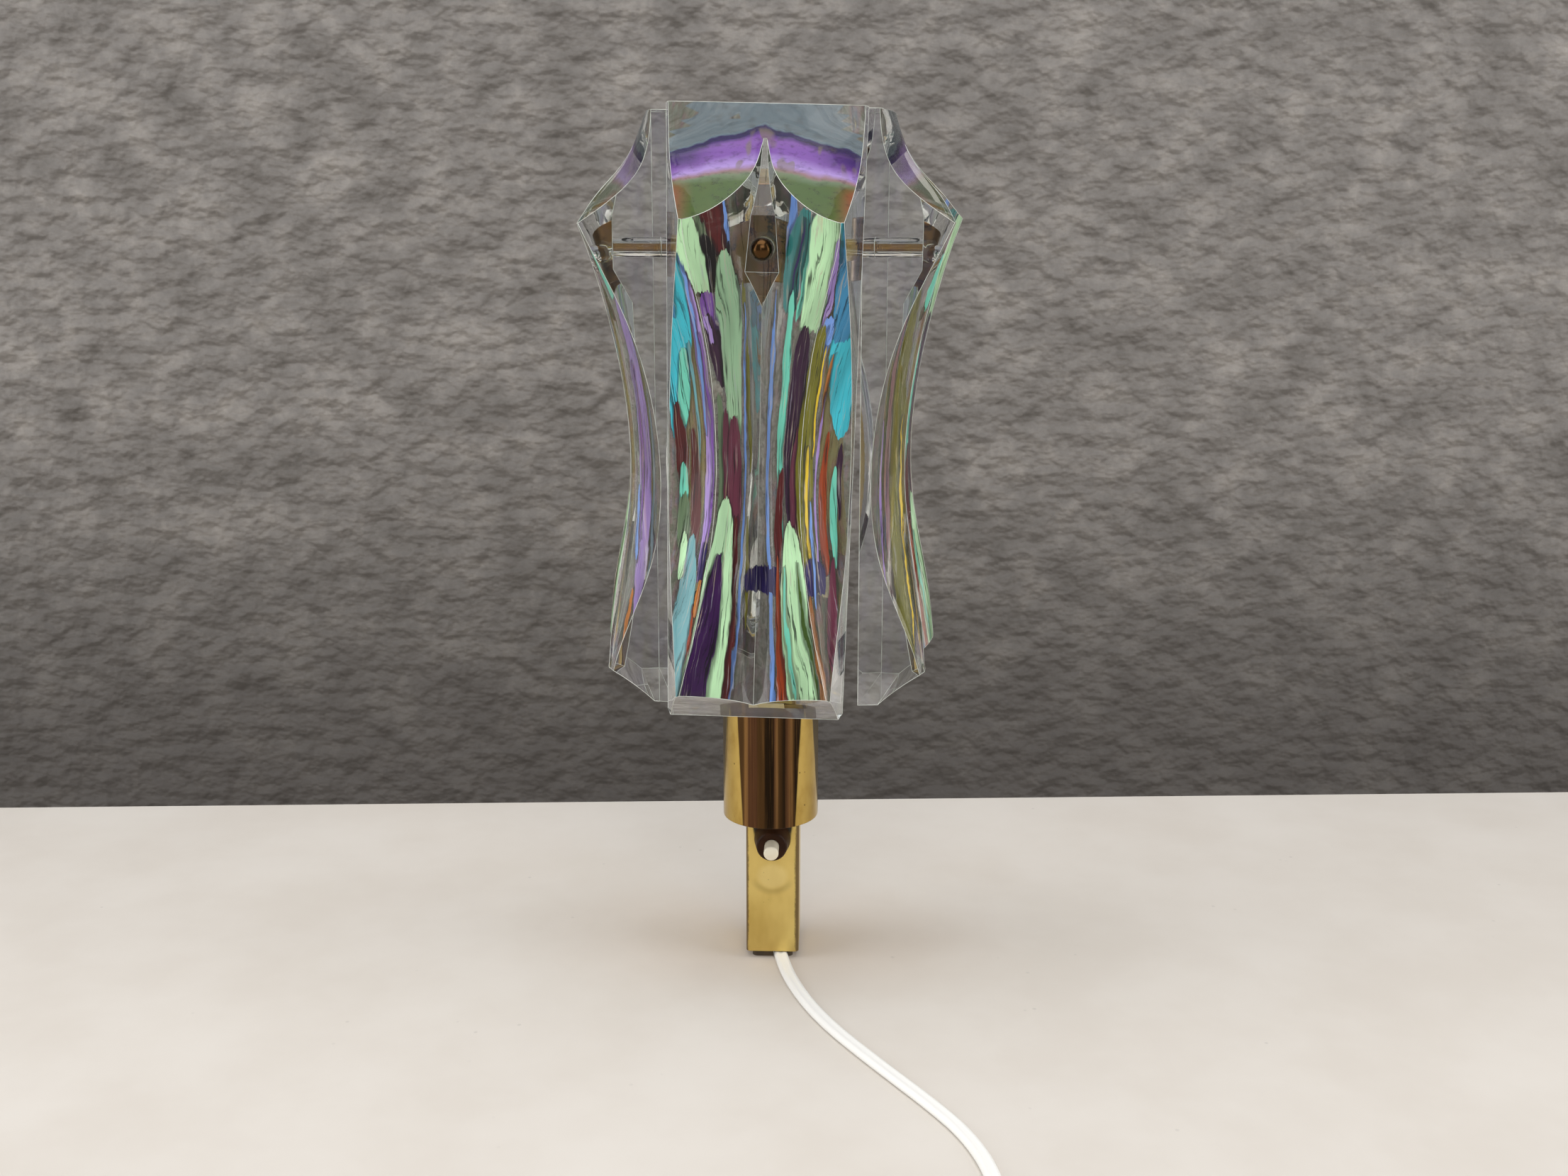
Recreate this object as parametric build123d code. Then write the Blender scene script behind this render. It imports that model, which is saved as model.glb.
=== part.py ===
from build123d import *
import math
import os

# Wall light with three moulded crystal panels hung round a brass band, over a brass lampholder tube,
# on a narrow brass wall channel with a push button.  Millimetres; X right, Y towards the wall, Z up.
# The origin is on the wall, at the back of the channel, half way up it.

# ---------------------------------------------------------------- driving dimensions
# Wall channel
CHANNEL_W = 20.8
CHANNEL_D = 26.0
CHANNEL_H = 288.0
CHANNEL_WALL = 1.2
CHANNEL_EDGE_R = 1.6
FRONT_Y = -CHANNEL_D
TOP_Z = CHANNEL_H / 2
BOTTOM_Z = -CHANNEL_H / 2
INNER_W = CHANNEL_W - 2 * CHANNEL_WALL

# Steel wall strip inside the channel
STRIP_W = INNER_W - 0.6
STRIP_T = 1.5
STRIP_TOP = TOP_Z - CHANNEL_WALL - 0.3
STRIP_BOTTOM = BOTTOM_Z + 9.0
WALL_SCREW_Z = (-90.0, 90.0)
WALL_SCREW_R = 2.25
EAR_DEPTH = 11.0
EAR_H = 14.0
EAR_Z = -118.0

# Crystal band (ring) and its studs
STUD_Z = 131.9
SADDLE_T = 1.5
RING_R = 31.5
RING_WALL = 1.5
RING_H = 20.5
RING_Y = FRONT_Y - SADDLE_T - RING_R
STUD_R = 2.0
SPLAY = 7.0
SIDE_SEAT = 34.8
FRONT_SEAT = 39.5
WASHER_T = 0.8
WASHER_R = 5.0
PLAY = 0.2

# Crystal panels
PANEL_HALF_W = 30.9
PANEL_TAPER = 0.01
PANEL_TOP = 43.3
PANEL_BOTTOM = -152.7
PANEL_DRAFT = 0.22
PANEL_HOLE_R = 3.3
BOSS_SEAT = 16.3
FRONT_HANG = 1.2
LEFT_HANG = 2.5
RIGHT_HANG = -1.5

# Lampholder tube
TUBE_R = 17.7
TUBE_WALL = 1.0
TUBE_TOP = 12.5
TUBE_BOTTOM = -77.5
TUBE_Y = FRONT_Y - SADDLE_T - TUBE_R
HOLDER_R = 13.5
HOLDER_TOP = -8.0
HOLDER_BOTTOM = -48.5
LAMP_THREAD_R = 7.0
SHELL_WALL = 0.6
SHELL_H = 22.0
COVER_SCREW_Z = (-70.0, -58.0)

# Push-button switch
SWITCH_Z = -96.0
COLLAR_R = 7.1
COLLAR_TIP_R = 5.9
COLLAR_L = 9.0
BUTTON_R = 2.85
BUTTON_OUT = 7.0
NECK_R = 5.0

TERMINAL_Z = -75.0
TERMINAL_D = 10.0
CLAMP_Z = -130.5

# Cord, lying on the surface that the foot of the channel just touches
FOOT_DROP = 3.0
FLOOR_Z = BOTTOM_Z - FOOT_DROP
CORD_W = 5.4
CORD_T = 2.8
CORD_Z = FLOOR_Z + CORD_T / 2
COIL_R = 34.0
COIL_HALF_TURNS = 4
COIL_LAYERS = 4
COIL_PITCH = 6.0
COIL_CLIMB = 3.3
COIL_START = (75.6, -228.0)
PLUG_L = 35.0
PLUG_W = 35.0
PLUG_T = 13.6
RELIEF_L = 20.0
PIN_R = 2.0
PIN_L = 19.0
PIN_SPACING = 18.6
ENTRY_Y = -6.0
ENTRY_TOP = -110.0

# Points of the cord from the foot of the channel to the coil, seen from above
CORD_ROUTE = [
    (3.1, -24.0),
    (4.6, -33.0),
    (8.0, -47.0),
    (14.2, -64.5),
    (23.0, -82.5),
    (34.0, -100.0),
    (45.4, -117.0),
    (56.6, -133.5),
    (66.6, -150.0),
    (73.0, -168.5),
    (75.0, -189.0),
    (75.6, -209.0),
    COIL_START,
]
EXIT_SLANT = math.degrees(
    math.atan2(CORD_ROUTE[1][0] - CORD_ROUTE[0][0], CORD_ROUTE[0][1] - CORD_ROUTE[1][1])
)
# Runs of the cord's last stretch, from the coil down to the plug: length, compass heading in the
# plan view (180 is towards -X, 270 towards -Y), and drop.
TAIL_RUNS = [(18.0, 270, 0.0), (19.0, 252, 1.5), (19.0, 228, 1.5), (19.0, 204, 1.45), (14.0, 180, 0.0)]

os.makedirs("parts", exist_ok=True)


def save(name, shape):
    """Names a sub-part and writes it as one STEP file."""
    shape.label = name
    export_step(shape, f"parts/{name}.step")
    return shape


def group(solids):
    """Separate solids that share a node, such as identical fasteners."""
    return Compound(children=list(solids))


def block(x0, x1, y0, y1, z0, z1):
    """A box given by its six faces."""
    return Pos((x0 + x1) / 2, (y0 + y1) / 2, (z0 + z1) / 2) * Box(x1 - x0, y1 - y0, z1 - z0)


def rod(start, direction, radius, length, inner=0.0):
    """A round bar, or a tube where an inner radius is given, from start along direction."""
    plane = Plane(origin=start, z_dir=direction)
    bar = plane * Pos(0, 0, length / 2) * Cylinder(radius, length)
    if inner:
        bar -= plane * Pos(0, 0, length / 2) * Cylinder(inner, length + 2)
    return bar


def hex_nut(start, direction, across_flats, thickness, bore):
    """A hexagon nut standing on start, pointing along direction."""
    plane = Plane(origin=start, z_dir=direction)
    outline = plane * RegularPolygon(across_flats / 2, 6, major_radius=False)
    return extrude(outline, amount=thickness, dir=direction) - rod(
        Vector(*start) - Vector(*direction), direction, bore, thickness + 2
    )


def pan_screw(seat, direction, head_r, head_t, shank_r, shank_l):
    """A slotted pan-head screw: its head stands on seat against direction, its shank goes along it."""
    seat, direction = Vector(*seat), Vector(*direction)
    head = rod(seat - direction * head_t, direction, head_r, head_t)
    rim = head.faces().sort_by(Axis(seat, direction))[0].edges()
    head = fillet(rim, head_t * 0.4)
    plane = Plane(origin=seat - direction * head_t, z_dir=direction)
    slot = plane * Box(head_r * 2 + 1, head_r * 0.28, head_t * 0.8)
    return head - slot + rod(seat, direction, shank_r, shank_l)


# ---------------------------------------------------------------- wall channel
def wall_strip():
    """Steel strip screwed to the wall, with two forward ears that the channel's side screws bite."""
    half = STRIP_W / 2
    strip = block(-half, half, -STRIP_T, 0, STRIP_BOTTOM, STRIP_TOP)
    for side in (-1, 1):
        inner, outer = sorted((side * (half - STRIP_T), side * half))
        ear = block(inner, outer, -EAR_DEPTH, -STRIP_T, EAR_Z - EAR_H / 2, EAR_Z + EAR_H / 2)
        strip += ear
    hook = block(-half, half, -EAR_DEPTH, -STRIP_T, STRIP_TOP - STRIP_T, STRIP_TOP)
    strip += hook
    for z in WALL_SCREW_Z:
        strip -= rod((0, 1, z), (0, -1, 0), WALL_SCREW_R, STRIP_T + 2)
    strip -= rod((-half - 1, -6.5, EAR_Z), (1, 0, 0), 1.25, STRIP_W + 2)
    return strip


def channel():
    """Brass channel, folded round three sides and closed at the top, open towards the wall."""
    body = block(-CHANNEL_W / 2, CHANNEL_W / 2, FRONT_Y, 0, BOTTOM_Z, TOP_Z)
    uprights = body.edges().filter_by(Axis.Z).group_by(Axis.Y)[0]
    body = fillet(uprights, CHANNEL_EDGE_R)
    half = INNER_W / 2
    hollow = block(-half, half, FRONT_Y + CHANNEL_WALL, 1, BOTTOM_Z - 1, TOP_Z - CHANNEL_WALL)
    corners = hollow.edges().filter_by(Axis.Z).group_by(Axis.Y)[0]
    body -= fillet(corners, CHANNEL_EDGE_R - CHANNEL_WALL + 0.1)
    through = CHANNEL_WALL + 2
    body -= rod((0, FRONT_Y - 1, SWITCH_Z), (0, 1, 0), NECK_R + 0.2, through)
    body -= rod((0, FRONT_Y - 1, STUD_Z), (0, 1, 0), 2.1, through)
    for z in COVER_SCREW_Z:
        body -= rod((0, FRONT_Y - 1, z), (0, 1, 0), 1.6, through)
    body -= rod((-CHANNEL_W, -6.5, EAR_Z), (1, 0, 0), 1.25, 2 * CHANNEL_W)
    return body


def channel_screws():
    """The two headless screws, flush in the channel's sides, that hold it on the strip's ears."""
    screws = []
    for side in (-1, 1):
        start = (side * CHANNEL_W / 2, -6.5, EAR_Z)
        screw = rod(start, (-side, 0, 0), 1.25, 3.6)
        screws.append(screw - Pos(*start) * Box(1.6, 0.6, 4))
    return group(screws)


def channel_foot():
    """Dark moulded foot that plugs the open lower end and stands just proud of the brass."""
    half = INNER_W / 2 - 0.2
    plug = block(-half, half, FRONT_Y + CHANNEL_WALL + 0.2, -STRIP_T - 0.3, BOTTOM_Z, BOTTOM_Z + 8)
    corners = plug.edges().filter_by(Axis.Z).group_by(Axis.Y)[0]
    plug = fillet(corners, 0.8)
    pad = block(-half + 1, half - 1, FRONT_Y + 2, -4, FLOOR_Z, BOTTOM_Z)
    pad = fillet(pad.edges().filter_by(Axis.Z), 2.0)
    foot = plug + pad
    middle = (ENTRY_Y + FRONT_Y) / 2
    groove = Pos(entry_x(middle), middle, FLOOR_Z + 1) * Rot(0, 0, EXIT_SLANT) * Box(CORD_W + 0.4, 24, 4)
    shaft = Pos(entry_x(-8.5), -8.5, BOTTOM_Z + 4) * Rot(0, 0, EXIT_SLANT) * Box(CORD_W + 0.4, 9, 16)
    return foot - groove - shaft


# ---------------------------------------------------------------- band, studs and nuts
def saddle(radius, centre_y, centre_z, height, width, bore):
    """Small brass block, flat on the channel and hollowed to the round piece in front of it."""
    pad = block(-width / 2, width / 2, FRONT_Y - 4, FRONT_Y, centre_z - height / 2, centre_z + height / 2)
    pad -= Pos(0, centre_y, centre_z) * Cylinder(radius, height + 2)
    return pad - rod((0, FRONT_Y + 1, centre_z), (0, -1, 0), bore, 8)


def stud_axis(angle):
    """Outward direction of a stud, turned by angle about the band's axis from the front."""
    turn = math.radians(angle)
    return Vector(math.sin(turn), -math.cos(turn), 0)


STUDS = {
    "front": (stud_axis(0), FRONT_SEAT),
    "left": (stud_axis(-90 + SPLAY), SIDE_SEAT),
    "right": (stud_axis(90 - SPLAY), SIDE_SEAT),
}


def on_stud(side, distance):
    """The point on a stud's axis at a distance from the band's axis."""
    direction, _ = STUDS[side]
    return Vector(0, RING_Y, STUD_Z) + direction * distance


def crystal_band():
    """Rolled brass band with three stud holes and one hole for the screw that holds it."""
    band = Pos(0, RING_Y, STUD_Z) * (Cylinder(RING_R, RING_H) - Cylinder(RING_R - RING_WALL, RING_H + 2))
    rims = band.edges().filter_by(GeomType.CIRCLE)
    band = fillet(rims, 0.4)
    for direction, _ in STUDS.values():
        band -= rod(Vector(0, RING_Y, STUD_Z), direction, STUD_R + 0.15, RING_R + 5)
    return band - rod((0, RING_Y, STUD_Z), (0, 1, 0), 2.1, RING_R + 5)


def band_screw():
    """Screw from inside the band, through the saddle and the channel."""
    return pan_screw((0, RING_Y + 29.7, STUD_Z), (0, 1, 0), 3.8, 2.4, 1.95, 8.5)


def band_nut():
    """Nut on the band screw, inside the channel."""
    return hex_nut((0, FRONT_Y + CHANNEL_WALL, STUD_Z), (0, 1, 0), 7.0, 3.2, 1.95)


def studs():
    """The three threaded studs, each from inside the band to its ball nut."""
    return group(
        rod(on_stud(side, 25.0), direction, STUD_R, seat + BOSS_SEAT + 4.4 - 25.0)
        for side, (direction, seat) in STUDS.items()
    )


def stud_inner_nuts():
    """Hexagon nuts that clamp the studs to the band from inside."""
    return group(
        hex_nut(on_stud(side, 25.6), direction, 7.0, 3.9, STUD_R) for side, (direction, _) in STUDS.items()
    )


def stud_spacers():
    """Brass distance tubes between the band and the inner washers; the front one is the longest."""
    spacers = []
    for side, (direction, seat) in STUDS.items():
        length = seat - PLAY - WASHER_T - RING_R
        spacers.append(rod(on_stud(side, RING_R), direction, 3.5, length, STUD_R + 0.1))
    return group(spacers)


def glass_washers():
    """Clear washers on both sides of each panel."""
    washers = []
    for side, (direction, seat) in STUDS.items():
        inside = on_stud(side, seat - PLAY - WASHER_T)
        outside = on_stud(side, seat + BOSS_SEAT + PLAY)
        washers.append(rod(inside, direction, WASHER_R, WASHER_T, STUD_R + 0.1))
        washers.append(rod(outside, direction, 3.9, WASHER_T, STUD_R + 0.1))
    return group(washers)


def ball_nut(side):
    """Round-headed blind nut: a short barrel that ends in a dome."""
    direction, seat = STUDS[side]
    radius, barrel = 3.5, 2.6
    profile = make_face(
        [
            Line((0, 0), (radius - 0.5, 0)),
            Line((radius - 0.5, 0), (radius, 0.5)),
            Line((radius, 0.5), (radius, barrel)),
            CenterArc((0, barrel), radius, 0, 90),
            Line((0, barrel + radius), (0, 0)),
        ]
    )
    start = on_stud(side, seat + BOSS_SEAT + PLAY + WASHER_T)
    solid = revolve(Plane.XZ * profile, Axis.Z)
    solid -= Cylinder(STUD_R, 2 * 3.4)
    return Plane(origin=start, z_dir=direction) * solid


# ---------------------------------------------------------------- crystal panels
# Stations down a panel: height, thickness at the side edge, half-width and thickness at the flute's
# outer ridge, thickness in the centre groove.
PANEL_STATIONS = [
    (47.7, 33.0, 22.2, 33.6, 8.6),
    (26.7, 33.0, 22.4, 33.6, 9.2),
    (15.7, 31.6, 23.0, 32.0, 9.8),
    (7.7, 28.4, 23.6, 28.8, 10.2),
    (-10.3, 19.4, 20.6, 22.9, 10.0),
    (-30.3, 10.9, 16.4, 18.0, 9.2),
    (-53.3, 5.3, 13.9, 14.3, 7.9),
    (-79.3, 3.6, 13.5, 13.6, 7.3),
    (-103.1, 6.9, 15.9, 16.8, 8.4),
    (-122.8, 14.0, 19.4, 20.3, 10.8),
    (-142.1, 20.6, 23.8, 22.2, 14.2),
    (-158.6, 25.0, 24.2, 25.8, 17.8),
]
# Top bevel: height, thickness on the centre line, and how much less at the side edges.
TOP_BEVEL = [
    (47.3, 4.4, 0.3),
    (43.3, 6.2, 1.4),
    (37.1, 8.7, 3.8),
    (30.0, 11.9, 6.0),
    (23.9, 16.4, 8.2),
    (17.8, 22.4, 9.4),
    (12.7, 27.2, 7.6),
    (8.2, 31.0, 3.4),
    (3.7, 34.5, 1.0),
]
BEVEL_REACH = 32.5


def arc_bulge(start, end, bulge):
    """Arc between two points of a section, bowed outwards by bulge, or inwards if it is negative."""
    (x0, y0), (x1, y1) = start, end
    length = math.hypot(x1 - x0, y1 - y0)
    nx, ny = -(y1 - y0) / length, (x1 - x0) / length
    middle = ((x0 + x1) / 2 + nx * bulge, (y0 + y1) / 2 + ny * bulge)
    return ThreePointArc(start, middle, end)


def panel_section(height, edge_w, ridge_u, ridge_w, groove_w):
    """Level section of a panel: flat back, drafted sides, hollow scoops and two round flutes."""
    back = PANEL_HALF_W + PANEL_TAPER * height
    edge_u = back - PANEL_DRAFT * edge_w
    scoop = 0.085 * math.hypot(edge_u - ridge_u, ridge_w - edge_w)
    flute = 0.11 * math.hypot(ridge_u, ridge_w - groove_w)
    wire = [
        Line((-back, 0), (back, 0)),
        Line((back, 0), (edge_u, edge_w)),
        arc_bulge((edge_u, edge_w), (ridge_u, ridge_w), scoop),
        arc_bulge((ridge_u, ridge_w), (0, groove_w), -flute),
        arc_bulge((0, groove_w), (-ridge_u, ridge_w), -flute),
        arc_bulge((-ridge_u, ridge_w), (-edge_u, edge_w), scoop),
        Line((-edge_u, edge_w), (-back, 0)),
    ]
    plane = Plane(origin=(0, 0, height), x_dir=(1, 0, 0), z_dir=(0, 0, 1))
    return plane * make_face(wire)


def bevel_section(height, centre_w, drop):
    """Level section of what the top bevel takes away: everything beyond its crowned surface."""
    side_w = centre_w - drop
    far = 75.0
    wire = [
        ThreePointArc((-BEVEL_REACH, side_w), (0, centre_w), (BEVEL_REACH, side_w)),
        Line((BEVEL_REACH, side_w), (BEVEL_REACH, far)),
        Line((BEVEL_REACH, far), (-BEVEL_REACH, far)),
        Line((-BEVEL_REACH, far), (-BEVEL_REACH, side_w)),
    ]
    plane = Plane(origin=(0, 0, height), x_dir=(1, 0, 0), z_dir=(0, 0, 1))
    return plane * make_face(wire)


def seat_boss():
    """Pear-shaped seat for the outer washer, with a long neck up the centre groove."""
    side = [
        ThreePointArc((0.8, 39), (1.7, 26), (3.2, 15)),
        ThreePointArc((3.2, 15), (5.9, 7.5), (7.0, -1)),
        ThreePointArc((7.0, -1), (5.4, -11), (0.6, -20)),
    ]
    ends = [Line((0.6, -20), (-0.6, -20)), Line((-0.8, 39), (0.8, 39))]
    outline = make_face(side + [mirror(edge, Plane.YZ) for edge in side] + ends)
    pear = extrude(Plane.XZ * outline, amount=-(BOSS_SEAT + 10))
    profile = make_face(
        Polyline((0.5, 42), (8.6, 40), (BOSS_SEAT, 10), (BOSS_SEAT, -7), (8.6, -20), (0.5, -23), close=True)
    )
    return pear & extrude(Plane.YZ * profile, amount=9, both=True)


def crystal_panel():
    """One moulded panel in its own frame: back on Y = 0 with Y going outwards, hole at the origin."""
    body = loft([panel_section(*station) for station in PANEL_STATIONS])
    boss = seat_boss() - body
    body = body + boss
    body -= loft([bevel_section(*station) for station in TOP_BEVEL])
    knuckle, tip, lift = 23.4, 6.0, 11.2
    sweep_in = make_face(
        [
            ThreePointArc(
                (tip - 1.4, PANEL_BOTTOM - 2), (12.9, PANEL_BOTTOM + 5.2), (knuckle + 3.0, PANEL_BOTTOM + lift + 2.2)
            ),
            Line((knuckle + 3.0, PANEL_BOTTOM + lift + 2.2), (60, PANEL_BOTTOM + lift + 2.2)),
            Line((60, PANEL_BOTTOM + lift + 2.2), (60, PANEL_BOTTOM - 2)),
            Line((60, PANEL_BOTTOM - 2), (tip - 1.4, PANEL_BOTTOM - 2)),
        ]
    )
    body -= extrude(Plane.YZ * sweep_in, amount=40, both=True)
    body -= block(-40, 40, -5, 80, PANEL_TOP, PANEL_TOP + 20)
    body -= block(-40, 40, -5, 80, PANEL_BOTTOM - 20, PANEL_BOTTOM)
    return body - rod((0, -1, 0), (0, 1, 0), PANEL_HOLE_R, 60)


def hang(panel, side, turn):
    """Hangs a panel on its stud, turned about it by a few degrees as it hangs."""
    direction, seat = STUDS[side]
    angle = math.degrees(math.atan2(direction.X, -direction.Y))
    outward = Rot(0, 0, 180) * panel
    return Pos(*on_stud(side, seat)) * Rot(0, 0, angle) * Rot(0, turn, 0) * outward


# ---------------------------------------------------------------- lampholder and its tube
def lamp_tube():
    """Brass tube that hides the lampholder, open at both ends, with two screw holes at its back."""
    middle = (TUBE_TOP + TUBE_BOTTOM) / 2
    height = TUBE_TOP - TUBE_BOTTOM
    tube = Pos(0, TUBE_Y, middle) * (Cylinder(TUBE_R, height) - Cylinder(TUBE_R - TUBE_WALL, height + 2))
    tube = fillet(tube.edges().filter_by(GeomType.CIRCLE), 0.3)
    for z in COVER_SCREW_Z:
        tube -= rod((0, TUBE_Y, z), (0, 1, 0), 1.6, TUBE_R + 4)
    return tube


def holder_bracket():
    """Bent steel bracket: one leg on the tube's back wall, the other under the lampholder."""
    back_y = TUBE_Y + 15.9
    leg = block(-5, 5, back_y - 1.5, back_y, -75, HOLDER_BOTTOM)
    shelf = block(-5, 5, TUBE_Y, back_y, HOLDER_BOTTOM - 1.5, HOLDER_BOTTOM)
    shelf += rod((0, TUBE_Y, HOLDER_BOTTOM - 1.5), (0, 0, 1), 9, 1.5)
    bracket = leg + shelf
    bracket -= rod((0, TUBE_Y, HOLDER_BOTTOM - 4), (0, 0, 1), 5.05, 8)
    for z in COVER_SCREW_Z:
        bracket -= rod((0, TUBE_Y, z), (0, 1, 0), 1.6, TUBE_R + 4)
    return bracket


def tube_screws():
    """Two screws from inside the channel through saddle, tube and bracket."""
    return group(
        pan_screw((0, FRONT_Y + CHANNEL_WALL, z), (0, -1, 0), 2.8, 1.9, 1.45, 10.0) for z in COVER_SCREW_Z
    )


def tube_nuts():
    """Nuts of the two tube screws, against the bracket."""
    back_y = TUBE_Y + 15.9 - 1.5
    return group(hex_nut((0, back_y, z), (0, -1, 0), 5.5, 2.4, 1.45) for z in COVER_SCREW_Z)


def lampholder():
    """Round lampholder body with the socket for the lamp's thread and a hole for the hollow nipple."""
    height = HOLDER_TOP - HOLDER_BOTTOM
    body = Pos(0, TUBE_Y, (HOLDER_TOP + HOLDER_BOTTOM) / 2) * Cylinder(HOLDER_R, height)
    body = fillet(body.edges().filter_by(GeomType.CIRCLE), 1.2)
    socket_r = LAMP_THREAD_R + SHELL_WALL
    body -= rod((0, TUBE_Y, HOLDER_TOP - 26), (0, 0, 1), socket_r, 40)
    body -= rod((0, TUBE_Y, HOLDER_BOTTOM - 1), (0, 0, 1), 5.05, 9)
    return body


def lamp_shell():
    """Thin brass sleeve that takes the lamp's screw cap."""
    return rod(
        (0, TUBE_Y, HOLDER_TOP - 1 - SHELL_H), (0, 0, 1), LAMP_THREAD_R + SHELL_WALL, SHELL_H, LAMP_THREAD_R
    )


def lamp_contact():
    """Springy centre contact at the bottom of the socket: a strip bent up to a raised tongue."""
    floor = HOLDER_TOP - 26
    strip = Polyline(
        (-5, floor), (5, floor), (5, floor + 0.5), (0.8, floor + 0.5),
        (-1.8, floor + 3.0), (-2.3, floor + 2.7), (0, floor + 0.5), (-5, floor + 0.5), close=True,
    )
    return Pos(0, TUBE_Y, 0) * extrude(Plane.XZ * make_face(strip), amount=2, both=True)


def holder_nipple():
    """Hollow threaded nipple that clamps the lampholder on its bracket."""
    return rod((0, TUBE_Y, HOLDER_BOTTOM - 6), (0, 0, 1), 5.0, 13, 3.6)


def nipple_nut():
    """Flat nut under the bracket."""
    return hex_nut((0, TUBE_Y, HOLDER_BOTTOM - 1.5), (0, 0, -1), 14.0, 2.5, 5.0)


# ---------------------------------------------------------------- push-button switch
def switch_collar():
    """Dark tapered collar that screws over the switch's neck from the front."""
    tip = FRONT_Y - COLLAR_L
    profile = make_face(
        Polyline(
            (0, 0), (COLLAR_R, 0), (COLLAR_R, 1.2), (COLLAR_TIP_R, COLLAR_L - 0.5), (COLLAR_TIP_R - 0.5, COLLAR_L),
            (0, COLLAR_L), close=True,
        )
    )
    collar = Plane(origin=(0, FRONT_Y, SWITCH_Z), z_dir=(0, -1, 0)) * revolve(Plane.XZ * profile, Axis.Z)
    collar -= rod((0, FRONT_Y + 1, SWITCH_Z), (0, -1, 0), NECK_R + 0.05, 5.5)
    return collar - rod((0, tip - 1, SWITCH_Z), (0, 1, 0), BUTTON_R + 0.2, COLLAR_L + 2)


def switch_body():
    """Switch case behind the panel with a threaded neck in front and two tags behind."""
    inner_face = FRONT_Y + CHANNEL_WALL
    case = block(-7, 7, inner_face, inner_face + 15, SWITCH_Z - 8, SWITCH_Z + 8)
    case = fillet(case.edges().filter_by(Axis.Y), 1.5)
    case += rod((0, inner_face, SWITCH_Z), (0, -1, 0), NECK_R, CHANNEL_WALL + 4.0)
    case -= rod((0, FRONT_Y - 6, SWITCH_Z), (0, 1, 0), BUTTON_R + 0.2, 16)
    for side in (-1, 1):
        case += block(side * 4 - 1.4, side * 4 + 1.4, inner_face + 15, inner_face + 19, SWITCH_Z - 0.4, SWITCH_Z + 0.4)
    return case


def switch_button():
    """Ivory push button with a rounded end and a plain stem."""
    tip = FRONT_Y - COLLAR_L - BUTTON_OUT
    button = rod((0, tip, SWITCH_Z), (0, 1, 0), BUTTON_R, 19)
    nose = button.faces().sort_by(Axis.Y)[0].edges()
    return fillet(nose, 0.8)


def terminal_block():
    """Two-way ceramic terminal block on the strip, above the switch."""
    back, front = -STRIP_T, -STRIP_T - TERMINAL_D
    case = block(-8, 8, front, back, TERMINAL_Z - 8.5, TERMINAL_Z + 8.5)
    case = fillet(case.edges().filter_by(Axis.Y), 1)
    for side in (-1, 1):
        case -= rod((side * 3.8, -6.5, TERMINAL_Z - 10), (0, 0, 1), 1.7, 20)
        for rise in (-4.5, 4.5):
            case -= rod((side * 3.8, front - 1, TERMINAL_Z + rise), (0, 1, 0), 1.6, 3.3)
            case -= rod((side * 3.8, front, TERMINAL_Z + rise), (0, 1, 0), 1.0, 5)
    return case


def terminal_screws():
    """The four clamping screws of the terminal block."""
    seat = -STRIP_T - TERMINAL_D + 2.3
    return group(
        pan_screw((side * 3.8, seat, TERMINAL_Z + rise), (0, 1, 0), 1.5, 1.1, 1.0, 3.2)
        for side in (-1, 1)
        for rise in (-4.5, 4.5)
    )


def cord_clamp():
    """Block on the strip that grips the cord's sheath just above the foot."""
    front = ENTRY_Y - CORD_T / 2 - 2
    clamp = block(-7, 7, front, -STRIP_T, CLAMP_Z - 3, CLAMP_Z + 3)
    clamp = fillet(clamp.edges().filter_by(Axis.Y), 0.8)
    clamp -= Pos(entry_x(ENTRY_Y), ENTRY_Y, CLAMP_Z) * Rot(0, 0, EXIT_SLANT) * Box(CORD_W, CORD_T, 8)
    for side in (-1, 1):
        clamp -= rod((side * 5.2, front - 1, CLAMP_Z), (0, 1, 0), 1.05, 12)
    return clamp


def clamp_screws():
    """The two screws of the cord clamp."""
    front = ENTRY_Y - CORD_T / 2 - 2
    return group(
        pan_screw((side * 5.2, front, CLAMP_Z), (0, 1, 0), 1.7, 1.2, 1.0, 7.0) for side in (-1, 1)
    )


# ---------------------------------------------------------------- cord
def rounded_path(points):
    """Straight runs joined by tangent arcs, each as large as its two runs allow."""
    corners = [Vector(*point) for point in points]
    radii = []
    for before, here, after in zip(corners, corners[1:], corners[2:]):
        turn = math.radians((here - before).get_angle(after - here))
        shorter = min((here - before).length, (after - here).length)
        radii.append(0.45 * shorter / math.tan(turn / 2))
    return FilletPolyline(*corners, radius=radii), radii


def cord_section(start, heading):
    """The flat cord's section, standing across its heading."""
    plane = Plane(origin=start, x_dir=Vector(0, 0, 1).cross(Vector(*heading)), z_dir=heading)
    return plane * SlotOverall(CORD_W, CORD_T)


def report_run(name, solid, length):
    """Prints a swept cord's volume against its section times its length."""
    section = (CORD_W - CORD_T) * CORD_T + math.pi * (CORD_T / 2) ** 2
    print(name, "length", round(length, 1), "volume ratio", round(solid.volume / (section * length), 4))


def cord():
    """The cord's free stretch on the table, from the foot to the coil."""
    points = [(x, y, CORD_Z) for x, y in CORD_ROUTE]
    path, radii = rounded_path(points)
    start = Vector(*points[0])
    solid = sweep(cord_section(start, Vector(*points[1]) - start), path=path)
    print("cord radii", [round(radius, 1) for radius in radii])
    report_run("cord", solid, path.length)
    return solid


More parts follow.
